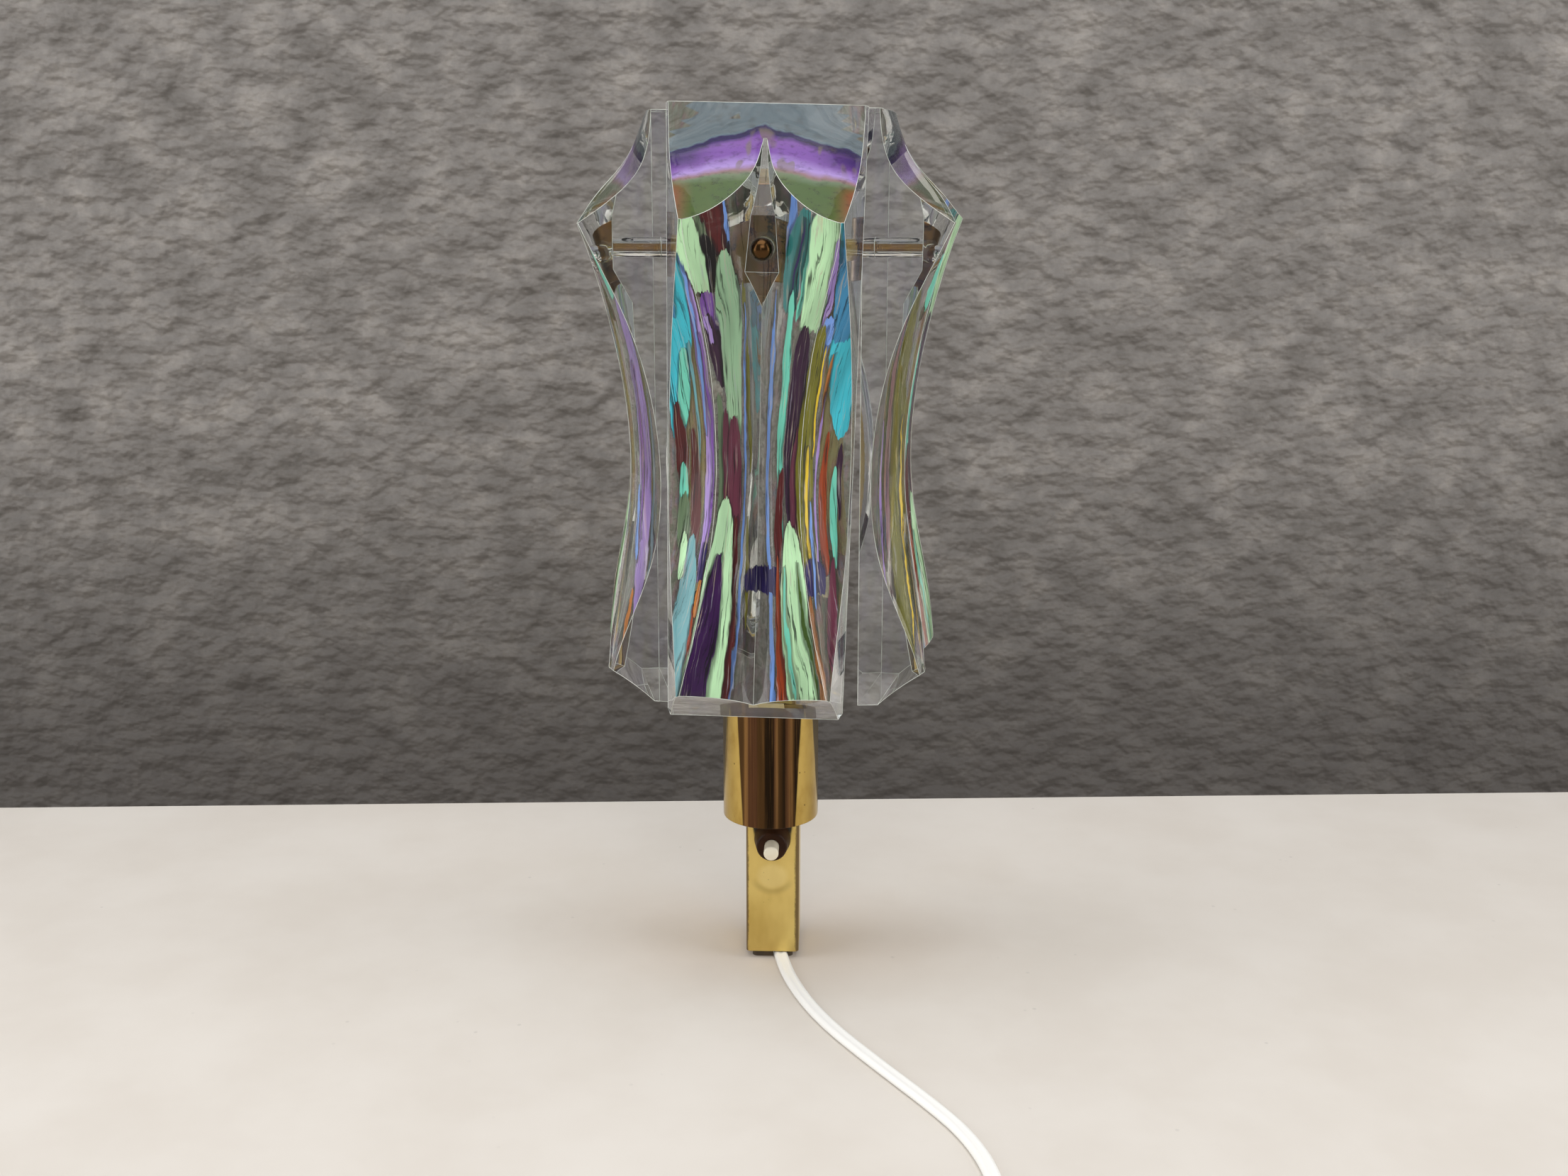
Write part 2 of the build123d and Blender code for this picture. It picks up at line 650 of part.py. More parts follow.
def entry_x(y):
    """Sideways place of the cord under the foot, in line with its first run on the table."""
    (x0, y0), (x1, y1) = CORD_ROUTE[:2]
    return x0 + (y - y0) * (x1 - x0) / (y1 - y0)


def cord_entry():
    """The hidden stretch of cord: down inside the channel, a close bend, and out under the foot."""
    x, exit_x, exit_y = entry_x(ENTRY_Y), *CORD_ROUTE[0]
    bend = CORD_W
    start = Vector(x, ENTRY_Y, ENTRY_TOP)
    path = FilletPolyline(start, (x, ENTRY_Y, CORD_Z), (exit_x, exit_y, CORD_Z), radius=bend)
    across = Vector(exit_y - ENTRY_Y, x - exit_x, 0)
    section = Plane(origin=start, x_dir=across, z_dir=(0, 0, -1)) * SlotOverall(CORD_W, CORD_T)
    return sweep(section, path=path)


def coil_arcs():
    """Half turns of the coil, clockwise: each starts where the last one ends and heads the same way.

    The radius steps in and out again by half a pitch a half turn; where it reverses, the half turn
    is tilted and climbs one layer.
    """
    arcs = []
    (x, y), height, side = COIL_START, CORD_Z, 1
    steps = COIL_HALF_TURNS * COIL_LAYERS
    for step in range(steps):
        beat = abs(COIL_HALF_TURNS - step % (2 * COIL_HALF_TURNS))
        radius = COIL_R - COIL_PITCH / 2 * (COIL_HALF_TURNS - beat)
        rise = COIL_CLIMB if step and step % COIL_HALF_TURNS == 0 else 0
        plane = Plane(
            origin=(x - side * radius, y, height + rise / 2),
            x_dir=(-2 * side * radius, 0, rise),
            z_dir=(-side * rise, 0, -2 * radius),
        )
        arcs.append(plane * CenterArc((0, 0), math.hypot(radius, rise / 2), 180, 180))
        x, height, side = x - 2 * side * radius, height + rise, -side
    return arcs, Vector(x, y, height)


def least_gap(path, length):
    """Smallest clearance of a level flat cord to itself, from points along its centre line."""
    count = 600
    points = [path @ (i / count) for i in range(count + 1)]
    spacing = length / count
    apart = int(6 * CORD_W / spacing)
    gaps = []
    for i, here in enumerate(points):
        for there in points[i + apart:]:
            level = max(0, math.hypot(there.X - here.X, there.Y - here.Y) - (CORD_W - CORD_T))
            gaps.append(math.hypot(level, there.Z - here.Z) - CORD_T)
    return min(gaps)


def cord_coil():
    """Spare cord, coiled flat in four layers."""
    arcs, _ = coil_arcs()
    path = Wire(arcs)
    start = Vector(*COIL_START, CORD_Z)
    solid = sweep(cord_section(start, (0, -1, 0)), path=path)
    report_run("coil", solid, path.length)
    print("coil least gap", round(least_gap(path, path.length), 2))
    return solid


def tail_points():
    """Corner points of the cord's last stretch."""
    _, here = coil_arcs()
    points = [here]
    for length, heading, drop in TAIL_RUNS:
        turn = math.radians(heading)
        here = here + Vector(length * math.cos(turn), length * math.sin(turn), -drop)
        points.append(here)
    return points


def cord_tail():
    """The cord's last stretch, from the coil's top layer down to the plug."""
    points = tail_points()
    path, radii = rounded_path([tuple(point) for point in points])
    solid = sweep(cord_section(points[0], points[1] - points[0]), path=path)
    print("tail radii", [round(radius, 1) for radius in radii])
    report_run("tail", solid, path.length)
    return solid


def cord_plug():
    """Flat two-pin plug with a tapered strain relief, lying beside the coil."""
    end = tail_points()[-1]
    half, back = PLUG_W / 2, RELIEF_L
    outline = make_face(
        Polyline(
            (back, -7), (back + 11, -half), (back + PLUG_L, -half), (back + PLUG_L, half),
            (back + 11, half), (back, 7), close=True,
        )
    )
    body = extrude(outline, amount=PLUG_T / 2, both=True)
    body = fillet(body.edges().filter_by(Axis.Z), 2.5)
    body = fillet(body.faces().filter_by(Axis.Z).edges(), 2.0)
    relief = loft(
        [
            Plane(origin=(0, 0, 0), x_dir=(0, 1, 0), z_dir=(1, 0, 0)) * RectangleRounded(7.4, 4.8, 2),
            Plane(origin=(back + 1, 0, 0), x_dir=(0, 1, 0), z_dir=(1, 0, 0)) * RectangleRounded(12.5, 9, 3),
        ]
    )
    return Pos(*end) * Rot(0, 0, 180) * (body + relief)


def plug_pins():
    """The plug's two round pins."""
    end = tail_points()[-1]
    face = end.X - RELIEF_L - PLUG_L
    pins = []
    for side in (-1, 1):
        pin = rod((face, end.Y + side * PIN_SPACING / 2, end.Z), (-1, 0, 0), PIN_R, PIN_L)
        pins.append(fillet(pin.faces().sort_by(Axis.X)[0].edges(), 1.2))
    return group(pins)


save("wall_strip", wall_strip())
save("channel", channel())
save("channel_screws", channel_screws())
save("channel_foot", channel_foot())
save("band_saddle", saddle(RING_R, RING_Y, STUD_Z, 16.0, 12.0, 2.1))
save("crystal_band", crystal_band())
save("band_screw", band_screw())
save("band_nut", band_nut())
save("studs", studs())
save("stud_inner_nuts", stud_inner_nuts())
save("stud_spacers", stud_spacers())
save("glass_washers", glass_washers())
save("ball_nuts", group(ball_nut(side) for side in STUDS))

panel = crystal_panel()
save("crystal_front", hang(panel, "front", FRONT_HANG))
save("crystal_left", hang(panel, "left", LEFT_HANG))
save("crystal_right", hang(panel, "right", RIGHT_HANG))

tube_pad = saddle(TUBE_R, TUBE_Y, sum(COVER_SCREW_Z) / 2, 24.0, 10.0, 0.1)
for screw_z in COVER_SCREW_Z:
    tube_pad -= rod((0, FRONT_Y + 1, screw_z), (0, -1, 0), 1.6, 8)
save("tube_saddle", tube_pad)
save("lamp_tube", lamp_tube())
save("holder_bracket", holder_bracket())
save("tube_screws", tube_screws())
save("tube_nuts", tube_nuts())
save("lampholder", lampholder())
save("lamp_shell", lamp_shell())
save("lamp_contact", lamp_contact())
save("holder_nipple", holder_nipple())
save("nipple_nut", nipple_nut())

save("switch_collar", switch_collar())
save("switch_body", switch_body())
save("switch_button", switch_button())
save("terminal_block", terminal_block())
save("terminal_screws", terminal_screws())
save("cord_clamp", cord_clamp())
save("clamp_screws", clamp_screws())

save("cord_entry", cord_entry())
save("cord", cord())
save("cord_coil", cord_coil())
save("cord_tail", cord_tail())
save("cord_plug", cord_plug())
save("plug_pins", plug_pins())
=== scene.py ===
"""Looks, cord, stage, lights and camera of a crystal wall sconce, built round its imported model."""

import logging
import math
from dataclasses import dataclass
from enum import Enum
from typing import Callable, Optional, Sequence, Union

import bmesh
import bpy
from mathutils import Euler, Matrix, Vector


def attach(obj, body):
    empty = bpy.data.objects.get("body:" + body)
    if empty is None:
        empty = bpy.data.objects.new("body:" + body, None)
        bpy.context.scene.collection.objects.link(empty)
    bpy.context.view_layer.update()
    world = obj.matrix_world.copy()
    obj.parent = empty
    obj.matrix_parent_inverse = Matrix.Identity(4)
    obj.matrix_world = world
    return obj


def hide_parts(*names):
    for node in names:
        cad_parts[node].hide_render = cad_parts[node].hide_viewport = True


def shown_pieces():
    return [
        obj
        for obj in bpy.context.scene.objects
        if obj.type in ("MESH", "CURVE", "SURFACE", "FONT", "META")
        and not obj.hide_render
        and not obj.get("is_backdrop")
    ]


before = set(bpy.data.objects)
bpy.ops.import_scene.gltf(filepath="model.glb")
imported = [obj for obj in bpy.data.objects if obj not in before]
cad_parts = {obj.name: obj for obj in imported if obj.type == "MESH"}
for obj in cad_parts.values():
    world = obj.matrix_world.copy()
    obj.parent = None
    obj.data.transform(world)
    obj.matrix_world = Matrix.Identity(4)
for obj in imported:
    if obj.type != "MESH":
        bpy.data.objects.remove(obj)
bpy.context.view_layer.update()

LOG = logging.getLogger("sconce")
MM = 0.001
LAMP = "lamp"
UP = Vector((0, 0, 1))

Colour = tuple[float, float, float, float]
BLACK: Colour = (0.0, 0.0, 0.0, 1.0)


def srgb(red: int, green: int, blue: int) -> Colour:
    """Turns a colour as a screen shows it into the renderer's linear numbers.

    Args:
        red: Red, 0 to 255.
        green: Green, 0 to 255.
        blue: Blue, 0 to 255.

    Returns:
        The linear colour with an alpha of 1.
    """

    def linear(level: int) -> float:
        """One channel, linear."""
        share = level / 255
        return share / 12.92 if share <= 0.04045 else ((share + 0.055) / 1.055) ** 2.4

    return linear(red), linear(green), linear(blue), 1.0


class Tint(Enum):
    """Named colours of the finishes."""

    GOLD = srgb(226, 200, 122)
    GOLD_DEEP = srgb(196, 166, 90)
    OLD_GOLD = srgb(192, 164, 92)
    OLD_GOLD_DEEP = srgb(168, 138, 70)
    LACQUER_BROWN = srgb(76, 54, 31)
    # Also the colour of the painted shade and the painted reflection streaks on the lampholder tube.
    TARNISH_AND_SHADE = srgb(36, 27, 18)
    AMBER = srgb(176, 110, 48)
    BRONZE = srgb(130, 96, 58)
    RED_BROWN = srgb(86, 58, 39)
    MINT = srgb(184, 226, 178)
    PALE_MINT = srgb(150, 188, 150)
    TURQUOISE = srgb(60, 186, 204)
    TEAL = srgb(46, 118, 116)
    SEA_GREEN = srgb(108, 200, 176)
    SKY = srgb(108, 146, 212)
    LILAC = srgb(158, 132, 196)
    VIOLET = srgb(116, 72, 156)
    INDIGO = srgb(36, 25, 78)
    PLUM = srgb(50, 24, 50)
    GRAPE = srgb(52, 18, 70)
    MAUVE = srgb(92, 40, 58)
    MAROON = srgb(78, 20, 22)
    RUST = srgb(140, 54, 16)
    OLIVE = srgb(104, 102, 16)
    YELLOW = srgb(216, 184, 38)
    SAGE = srgb(92, 112, 84)
    MOSS = srgb(62, 86, 34)
    SMOKE = srgb(112, 100, 84)
    PINK_SMOKE = srgb(132, 100, 106)
    STEEL_BLUE = srgb(98, 116, 126)
    DEEP_CYAN = srgb(58, 128, 168)
    STONE_TEAL = srgb(100, 152, 158)
    INK = srgb(12, 9, 14)


# ---------------------------------------------------------------- node building
class Term:
    """An output socket that takes part in arithmetic; each operator adds a Math node."""

    def __init__(self, bench: "Bench", socket: bpy.types.NodeSocket) -> None:
        """Holds a socket and the bench that adds nodes beside it."""
        self.bench = bench
        self.socket = socket

    def other(self, name: str) -> "Term":
        """Another output of the same node."""
        return Term(self.bench, self.socket.node.outputs[name])

    def __add__(self, value: "Value") -> "Term":
        """Sum."""
        return self.bench.calc("ADD", self, value)

    def __sub__(self, value: "Value") -> "Term":
        """Difference."""
        return self.bench.calc("SUBTRACT", self, value)

    def __rsub__(self, value: "Value") -> "Term":
        """Difference from a plain number."""
        return self.bench.calc("SUBTRACT", value, self)

    def __mul__(self, value: "Value") -> "Term":
        """Product."""
        return self.bench.calc("MULTIPLY", self, value)

    def __truediv__(self, value: "Value") -> "Term":
        """Quotient."""
        return self.bench.calc("DIVIDE", self, value)

    def __pow__(self, value: "Value") -> "Term":
        """Power."""
        return self.bench.calc("POWER", self, value)

    def __abs__(self) -> "Term":
        """Size without its sign."""
        return self.bench.calc("ABSOLUTE", self)


Value = Union[float, Sequence[float], Tint, Term]
Stops = Sequence[tuple[float, Union[Tint, Colour]]]


class Bench:
    """Adds nodes to one tree; each method wires a node's inputs and returns one of its outputs."""

    def __init__(self, tree: bpy.types.NodeTree) -> None:
        """Starts work on a node tree."""
        self.tree = tree

    def wire(self, node: bpy.types.Node, inputs: dict[Union[int, str], Value]) -> bpy.types.Node:
        """Links terms and sets plain values.

        Args:
            node: The node that gets them.
            inputs: Values or terms, by the input's name or number.

        Returns:
            The node.
        """
        for key, value in inputs.items():
            if isinstance(value, Term):
                self.tree.links.new(value.socket, node.inputs[key])
            else:
                node.inputs[key].default_value = value.value if isinstance(value, Tint) else value
        return node

    def add(self, kind: str, inputs: Optional[dict] = None, out: Union[int, str] = 0,
            **props: object) -> Term:
        """Adds a node.

        Args:
            kind: The node type, without the leading ShaderNode.
            inputs: Its inputs.
            out: The output to return.
            props: Properties of the node.

        Returns:
            The chosen output.
        """
        node = self.tree.nodes.new("ShaderNode" + kind)
        for name, value in props.items():
            setattr(node, name, value)
        return Term(self, self.wire(node, inputs or {}).outputs[out])

    def calc(self, operation: str, *values: Value, clamp: bool = False) -> Term:
        """A Math node on one to three values."""
        return self.add("Math", dict(enumerate(values)), operation=operation, use_clamp=clamp)

    def blend(self, share: Value, first: Value, second: Value) -> Term:
        """Mixes two colours by share."""
        return self.add("Mix", {0: share, 6: first, 7: second}, out=2, data_type="RGBA")

    def between(self, share: Value, first: Value, second: Value) -> Term:
        """Mixes two numbers by share."""
        return self.add("Mix", {0: share, 2: first, 3: second})

    def step(self, value: Value, low: Value, high: Value, start: Value = 0.0, end: Value = 1.0) -> Term:
        """A smooth step: start at low, end at high."""
        inputs = {0: value, 1: low, 2: high, 3: start, 4: end}
        return self.add("MapRange", inputs, interpolation_type="SMOOTHSTEP")

    def ramp(self, value: Value, stops: Stops) -> Term:
        """A colour ramp.

        Args:
            value: Where to read it.
            stops: Positions with their colours.

        Returns:
            The colour.
        """
        ramp = self.add("ValToRGB", {0: value})
        band = ramp.socket.node.color_ramp
        while len(band.elements) < len(stops):
            band.elements.new(1.0)
        for element, (place, colour) in zip(band.elements, stops):
            element.position = place
            element.color = colour.value if isinstance(colour, Tint) else colour
        return ramp

    def stretch(self, vector: Value, scale: Sequence[float], shift: Sequence[float] = (0, 0, 0)) -> Term:
        """Scales and shifts coordinates."""
        return self.add("Mapping", {"Vector": vector, "Scale": scale, "Location": shift})

    def noise(self, vector: Value, scale: Value, detail: float = 3.0, rough: float = 0.5) -> Term:
        """Noise from 0 to 1."""
        inputs = {"Vector": vector, "Scale": scale, "Detail": detail, "Roughness": rough}
        return self.add("TexNoise", inputs)

    def place(self) -> tuple[Term, Term, Term, Term]:
        """Object coordinates in millimetres: the vector and its three parts."""
        vector = self.stretch(self.add("TexCoord", out="Object"), (1000, 1000, 1000))
        x = self.add("SeparateXYZ", {0: vector})
        return vector, x, x.other("Y"), x.other("Z")

    def group(self, name: str, inputs: dict, out: Union[int, str] = 0) -> Term:
        """Places a shared effect and returns one of its outputs."""
        node = self.tree.nodes.new("ShaderNodeGroup")
        node.node_tree = bpy.data.node_groups[name]
        return Term(self, self.wire(node, inputs).outputs[out])

    def specks(self, vector: Value, scale: float, size: float) -> Term:
        """The shared effect of small scattered spots."""
        return self.group("specks", {"Vector": vector, "Scale": scale, "Size": size})

    def grain(self, vector: Value, scale: float, roughness: float, swing: float,
              relief: float) -> tuple[Term, Term]:
        """Grain of a surface.

        Args:
            vector: Coordinates; stretched ones give brush lines.
            scale: Scale of the grain.
            roughness: Mean roughness.
            swing: How far the grain changes it.
            relief: Strength of the relief.

        Returns:
            The roughness, and a normal with the grain's fine relief.
        """
        inputs = {"Vector": vector, "Scale": scale, "Roughness": roughness, "Swing": swing}
        rough = self.group("grain", inputs)
        bump = self.add("Bump", {"Strength": relief, "Distance": 0.0002, "Height": rough.other("Height")})
        return rough, bump

    def add_output(self, sink: bpy.types.Node, share: Term, first: Term, second: Term) -> None:
        """Mixes two shaders into the material's output."""
        self.wire(sink, {0: self.add("MixShader", {0: share, 1: first, 2: second})})


SOCKETS = {float: "NodeSocketFloat", tuple: "NodeSocketColor", list: "NodeSocketVector"}


def effect(name: str, inputs: dict, outputs: dict, draw: Callable[[Bench, dict], dict]) -> None:
    """Makes a shared effect as a node group.

    Args:
        name: The group's name.
        inputs: Input names with defaults; a list stands for a vector, a tuple for a colour.
        outputs: Output names with a value of their kind.
        draw: Builds the inside: from the bench and its inputs to its outputs.
    """
    tree = bpy.data.node_groups.new(name, "ShaderNodeTree")
    for label, default in inputs.items():
        socket = tree.interface.new_socket(label, in_out="INPUT", socket_type=SOCKETS[type(default)])
        if not isinstance(default, list):
            socket.default_value = default
    for label, kind in outputs.items():
        tree.interface.new_socket(label, in_out="OUTPUT", socket_type=SOCKETS[type(kind)])
    source = tree.nodes.new("NodeGroupInput")
    sink = tree.nodes.new("NodeGroupOutput")
    bench = Bench(tree)
    bench.wire(sink, draw(bench, {label: Term(bench, source.outputs[label]) for label in inputs}))


def draw_wear(bench: Bench, ins: dict) -> dict:
    """Uneven patches with a speckled border, where lacquer has gone or dirt has stayed."""
    broad = bench.noise(ins["Vector"], ins["Scale"], 4.0, 0.6)
    fine = bench.noise(bench.stretch(ins["Vector"], (9, 9, 9)), ins["Scale"], 3.0, 0.7)
    level = broad + (fine - 0.5) * 0.35 + ins["Bias"]
    return {"Mask": bench.step(level, 0.55, 0.68)}


def draw_specks(bench: Bench, ins: dict) -> dict:
    """Small scattered spots."""
    cells = bench.add("TexVoronoi", {"Vector": ins["Vector"], "Scale": ins["Scale"]}, out="Distance")
    pick = bench.noise(ins["Vector"], ins["Scale"] * 0.31, 1.0)
    spot = bench.step(cells, ins["Size"], ins["Size"] * 0.4)
    return {"Mask": spot * bench.step(pick, 0.56, 0.64)}


def draw_grain(bench: Bench, ins: dict) -> dict:
    """Fine grain for a surface's roughness and height."""
    grain = bench.noise(ins["Vector"], ins["Scale"], 4.0, 0.65)
    return {"Roughness": ins["Roughness"] + (grain - 0.5) * ins["Swing"], "Height": grain}


def draw_blade(bench: Bench, ins: dict) -> dict:
    """One streak of film: a long blade between two heights, with a softly drawn dark border."""
    along = bench.calc("DIVIDE", ins["Top"] - ins["Height"], ins["Top"] - ins["Bottom"], clamp=True)
    centre = bench.between(along, ins["From"], ins["To"])
    swell = bench.calc("MULTIPLY", along * (1.0 - along * ins["Close"]), 3.6, clamp=True)
    reach = ins["Width"] * swell**0.36
    off = abs(ins["Across"] - centre)
    there = bench.calc("GREATER_THAN", reach, 0.004) * bench.calc("LESS_THAN", along, 0.999)
    mask = bench.step(off, reach, reach * 0.94 - 0.01) * there
    rim = bench.step(off, reach + 0.05, reach + 0.012) * there * 0.62
    cover = bench.calc("MAXIMUM", ins["Cover"], rim * 0.9)
    return {
        "Colour": bench.blend(mask, bench.blend(rim, ins["Under"], Tint.INK), ins["Paint"]),
        "Cover": bench.calc("MAXIMUM", cover, mask * ins["Strength"]),
    }


def make_effects() -> None:
    """Builds the effects that the materials share."""
    mask = {"Mask": 0.0}
    effect("wear", {"Vector": [], "Scale": 0.1, "Bias": 0.0}, mask, draw_wear)
    effect("specks", {"Vector": [], "Scale": 0.5, "Size": 0.2}, mask, draw_specks)
    surface = {"Vector": [], "Scale": 1.0, "Roughness": 0.3, "Swing": 0.2}
    effect("grain", surface, {"Roughness": 0.0, "Height": 0.0}, draw_grain)
    numbers = ("Cover", "Strength", "Across", "Height", "Top", "Bottom", "From", "To", "Width", "Close")
    blade = {"Under": BLACK, "Paint": BLACK, **dict.fromkeys(numbers, 0.0)}
    effect("blade", blade, {"Colour": BLACK, "Cover": 0.0}, draw_blade)


# ---------------------------------------------------------------- finishes
def new_material(name: str) -> tuple[bpy.types.Material, Bench, bpy.types.Node, bpy.types.Node]:
    """Starts a node material.

    Args:
        name: The material's name.

    Returns:
        The material, a bench on its tree, its Principled node and its output node.
    """
    material = bpy.data.materials.new(name)
    material.use_nodes = True
    tree = material.node_tree
    tree.nodes.clear()
    sink = tree.nodes.new("ShaderNodeOutputMaterial")
    shader = tree.nodes.new("ShaderNodeBsdfPrincipled")
    tree.links.new(shader.outputs[0], sink.inputs[0])
    return material, Bench(tree), shader, sink


@dataclass(frozen=True)
class Metal:
    """A metal with brush grain, a darker second tone in patches, and specks.

    Attributes:
        name: The material's name.
        tone: Main colour.
        dark: Colour of worn or dirty patches.
        roughness: Mean roughness.
        swing: How far the grain changes it.
        worn: Share of patches, from -0.3 for none to 0.2 for many.
        brushed: Stretch of the grain along each axis; the smallest is the brush's direction.
    """

    name: str
    tone: Union[Tint, Colour]
    dark: Union[Tint, Colour] = Tint.TARNISH_AND_SHADE
    roughness: float = 0.3
    swing: float = 0.15
    worn: float = -0.1
    brushed: tuple[float, float, float] = (1.0, 1.0, 1.0)

    def build(self) -> bpy.types.Material:
        """Builds the material."""
        material, bench, shader, _ = new_material(self.name)
        vector, _, _, _ = bench.place()
        mask = bench.group("wear", {"Vector": vector, "Scale": 0.12, "Bias": self.worn})
        colour = bench.blend(mask, self.tone, self.dark)
        colour = bench.blend(bench.specks(vector, 0.45, 0.16), colour, self.dark)
        lines = bench.stretch(vector, self.brushed)
        rough, bump = bench.grain(lines, 1.6, self.roughness, self.swing, 0.06)
        bench.wire(shader, {"Base Color": colour, "Metallic": 1.0, "Roughness": rough, "Normal": bump})
        return material


@dataclass(frozen=True)
class Moulded:
    """A moulded plastic or glazed ceramic with faint mottling and dust.

    Attributes:
        name: The material's name.
        tone: Main colour.
        shade: Second colour of the mottling.
        roughness: Mean roughness.
        coat: Weight of the clear gloss on top.
        relief: Strength of the fine surface texture.
        gloss: Strength of its own reflections.
    """

    name: str
    tone: Colour
    shade: Colour
    roughness: float = 0.35
    coat: float = 0.0
    relief: float = 0.05
    gloss: float = 0.5

    def build(self) -> bpy.types.Material:
        """Builds the material."""
        material, bench, shader, _ = new_material(self.name)
        vector, _, _, _ = bench.place()
        mottle = bench.step(bench.noise(vector, 0.11, 4.0, 0.6), 0.4, 0.75)
        rough, bump = bench.grain(vector, 2.2, self.roughness, 0.12, self.relief)
        looks = {
            "Base Color": bench.blend(mottle, self.tone, self.shade),
            "Roughness": rough,
            "Normal": bump,
            "Specular IOR Level": self.gloss,
            "Coat Weight": self.coat,
            "Coat Roughness": 0.08,
        }
        bench.wire(shader, looks)
        return material


@dataclass(frozen=True)
class ChannelBrass:
    """Satin lacquered brass of the wall channel: dark worn bands on its upright edges, painted shade and a
    painted reflection by the switch.

    Attributes:
        half_width: Half the channel's width, in millimetres.
        front_y: Its front face.
        edge_left: Width of the worn band on the left.
        edge_right: Width of the worn band on the right.
        switch_z: Height of the push button.
        spot_z: Height of the painted reflection spot below it.
        spot_size: Half the painted reflection spot's width and height.
    """

    half_width: float = 10.4
    front_y: float = -24.9
    edge_left: float = 1.25
    edge_right: float = 1.9
    switch_z: float = -96.0
    spot_z: float = -112.0
    spot_size: tuple[float, float] = (7.0, 6.2)

    def build(self) -> bpy.types.Material:
        """Builds the material."""
        material, bench, shader, _ = new_material("channel_brass")
        vector, x, y, z = bench.place()
        ragged = bench.noise(bench.stretch(vector, (1, 1, 0.45)), 1.1, 5.0, 0.75)
        drift = bench.noise(bench.stretch(vector, (0, 0, 1)), 0.06, 3.0)
        ragged = (ragged - 0.5) * 1.3 + (drift - 0.5)
        left = bench.step(x + self.half_width + ragged, self.edge_left, self.edge_left * 0.45)
        right = bench.step(self.half_width - x + ragged, self.edge_right, self.edge_right * 0.5)
        front = bench.step(y, self.front_y + 0.7, self.front_y)
        band = bench.calc("MAXIMUM", left, right) * front
        cloud = bench.noise(bench.stretch(vector, (1, 1, 0.5)), 0.07, 3.0, 0.5)
        gold = bench.blend(bench.step(cloud, 0.3, 0.75), Tint.GOLD, Tint.GOLD_DEEP)
        # Painted shade: near-black, dull region round the switch collar, under the tube.
        ring = self.painted_collar_shade(bench, x, z)
        # Painted reflection: a lighter oval spot below the button, with a painted shaded lower border.
        gold = self.painted_reflection_spot(bench, bench.blend(ring, gold, Tint.INK), x, z)
        gold = bench.blend(bench.specks(vector, 0.4, 0.12) * 0.6, gold, Tint.LACQUER_BROWN)
        colour = bench.blend(band * 0.86, gold, Tint.LACQUER_BROWN)
        grain, bump = bench.grain(bench.stretch(vector, (1, 1, 0.08)), 1.8, 0.36, 0.1, 0.05)
        dark = bench.calc("MAXIMUM", band * 0.6, ring)
        looks = {
            "Base Color": colour,
            "Metallic": bench.between(dark, 1.0, 0.25),
            "Roughness": bench.between(dark, grain, 0.5),
            "Normal": bump,
        }
        bench.wire(shader, looks)
        return material

    def painted_reflection_spot(self, bench: Bench, gold: Term, x: Term, z: Term) -> Term:
        """Painted reflection: an oval, lighter place below the button, with painted shade along its lower
        border.

        Args:
            bench: The bench to draw on.
            gold: Colour of the brass.
            x: Sideways place, in millimetres.
            z: Height, in millimetres.

        Returns:
            The colour with the painted reflection spot.
        """
        away = x / self.spot_size[0]
        up = (z - self.spot_z) / self.spot_size[1]
        reach = bench.calc("SQRT", away * away + up * up)
        border = bench.step(reach, 1.4, 1.02) * bench.step(reach, 0.74, 1.0)
        border = border * bench.step(up, 0.0, -0.8, 0.0, 0.22)
        gold = bench.blend(bench.step(reach, 1.05, 0.6, 0.0, 0.3), gold, srgb(244, 226, 164))
        return bench.blend(border, gold, Tint.LACQUER_BROWN)

    def painted_collar_shade(self, bench: Bench, x: Term, z: Term) -> Term:
        """Mask of the painted shade round the switch collar, under the lampholder tube.

        Args:
            bench: The bench to draw on.
            x: Sideways place, in millimetres.
            z: Height, in millimetres.

        Returns:
            The mask.
        """
        rise = z - self.switch_z
        wide = bench.step(rise, 0.0, 9.0, 7.6, 8.6)
        inside = bench.step(abs(x), wide, wide - 0.9)
        return inside * bench.step(rise, -1.5, 3.5) * bench.step(rise, 17.5, 12.5) * 0.96


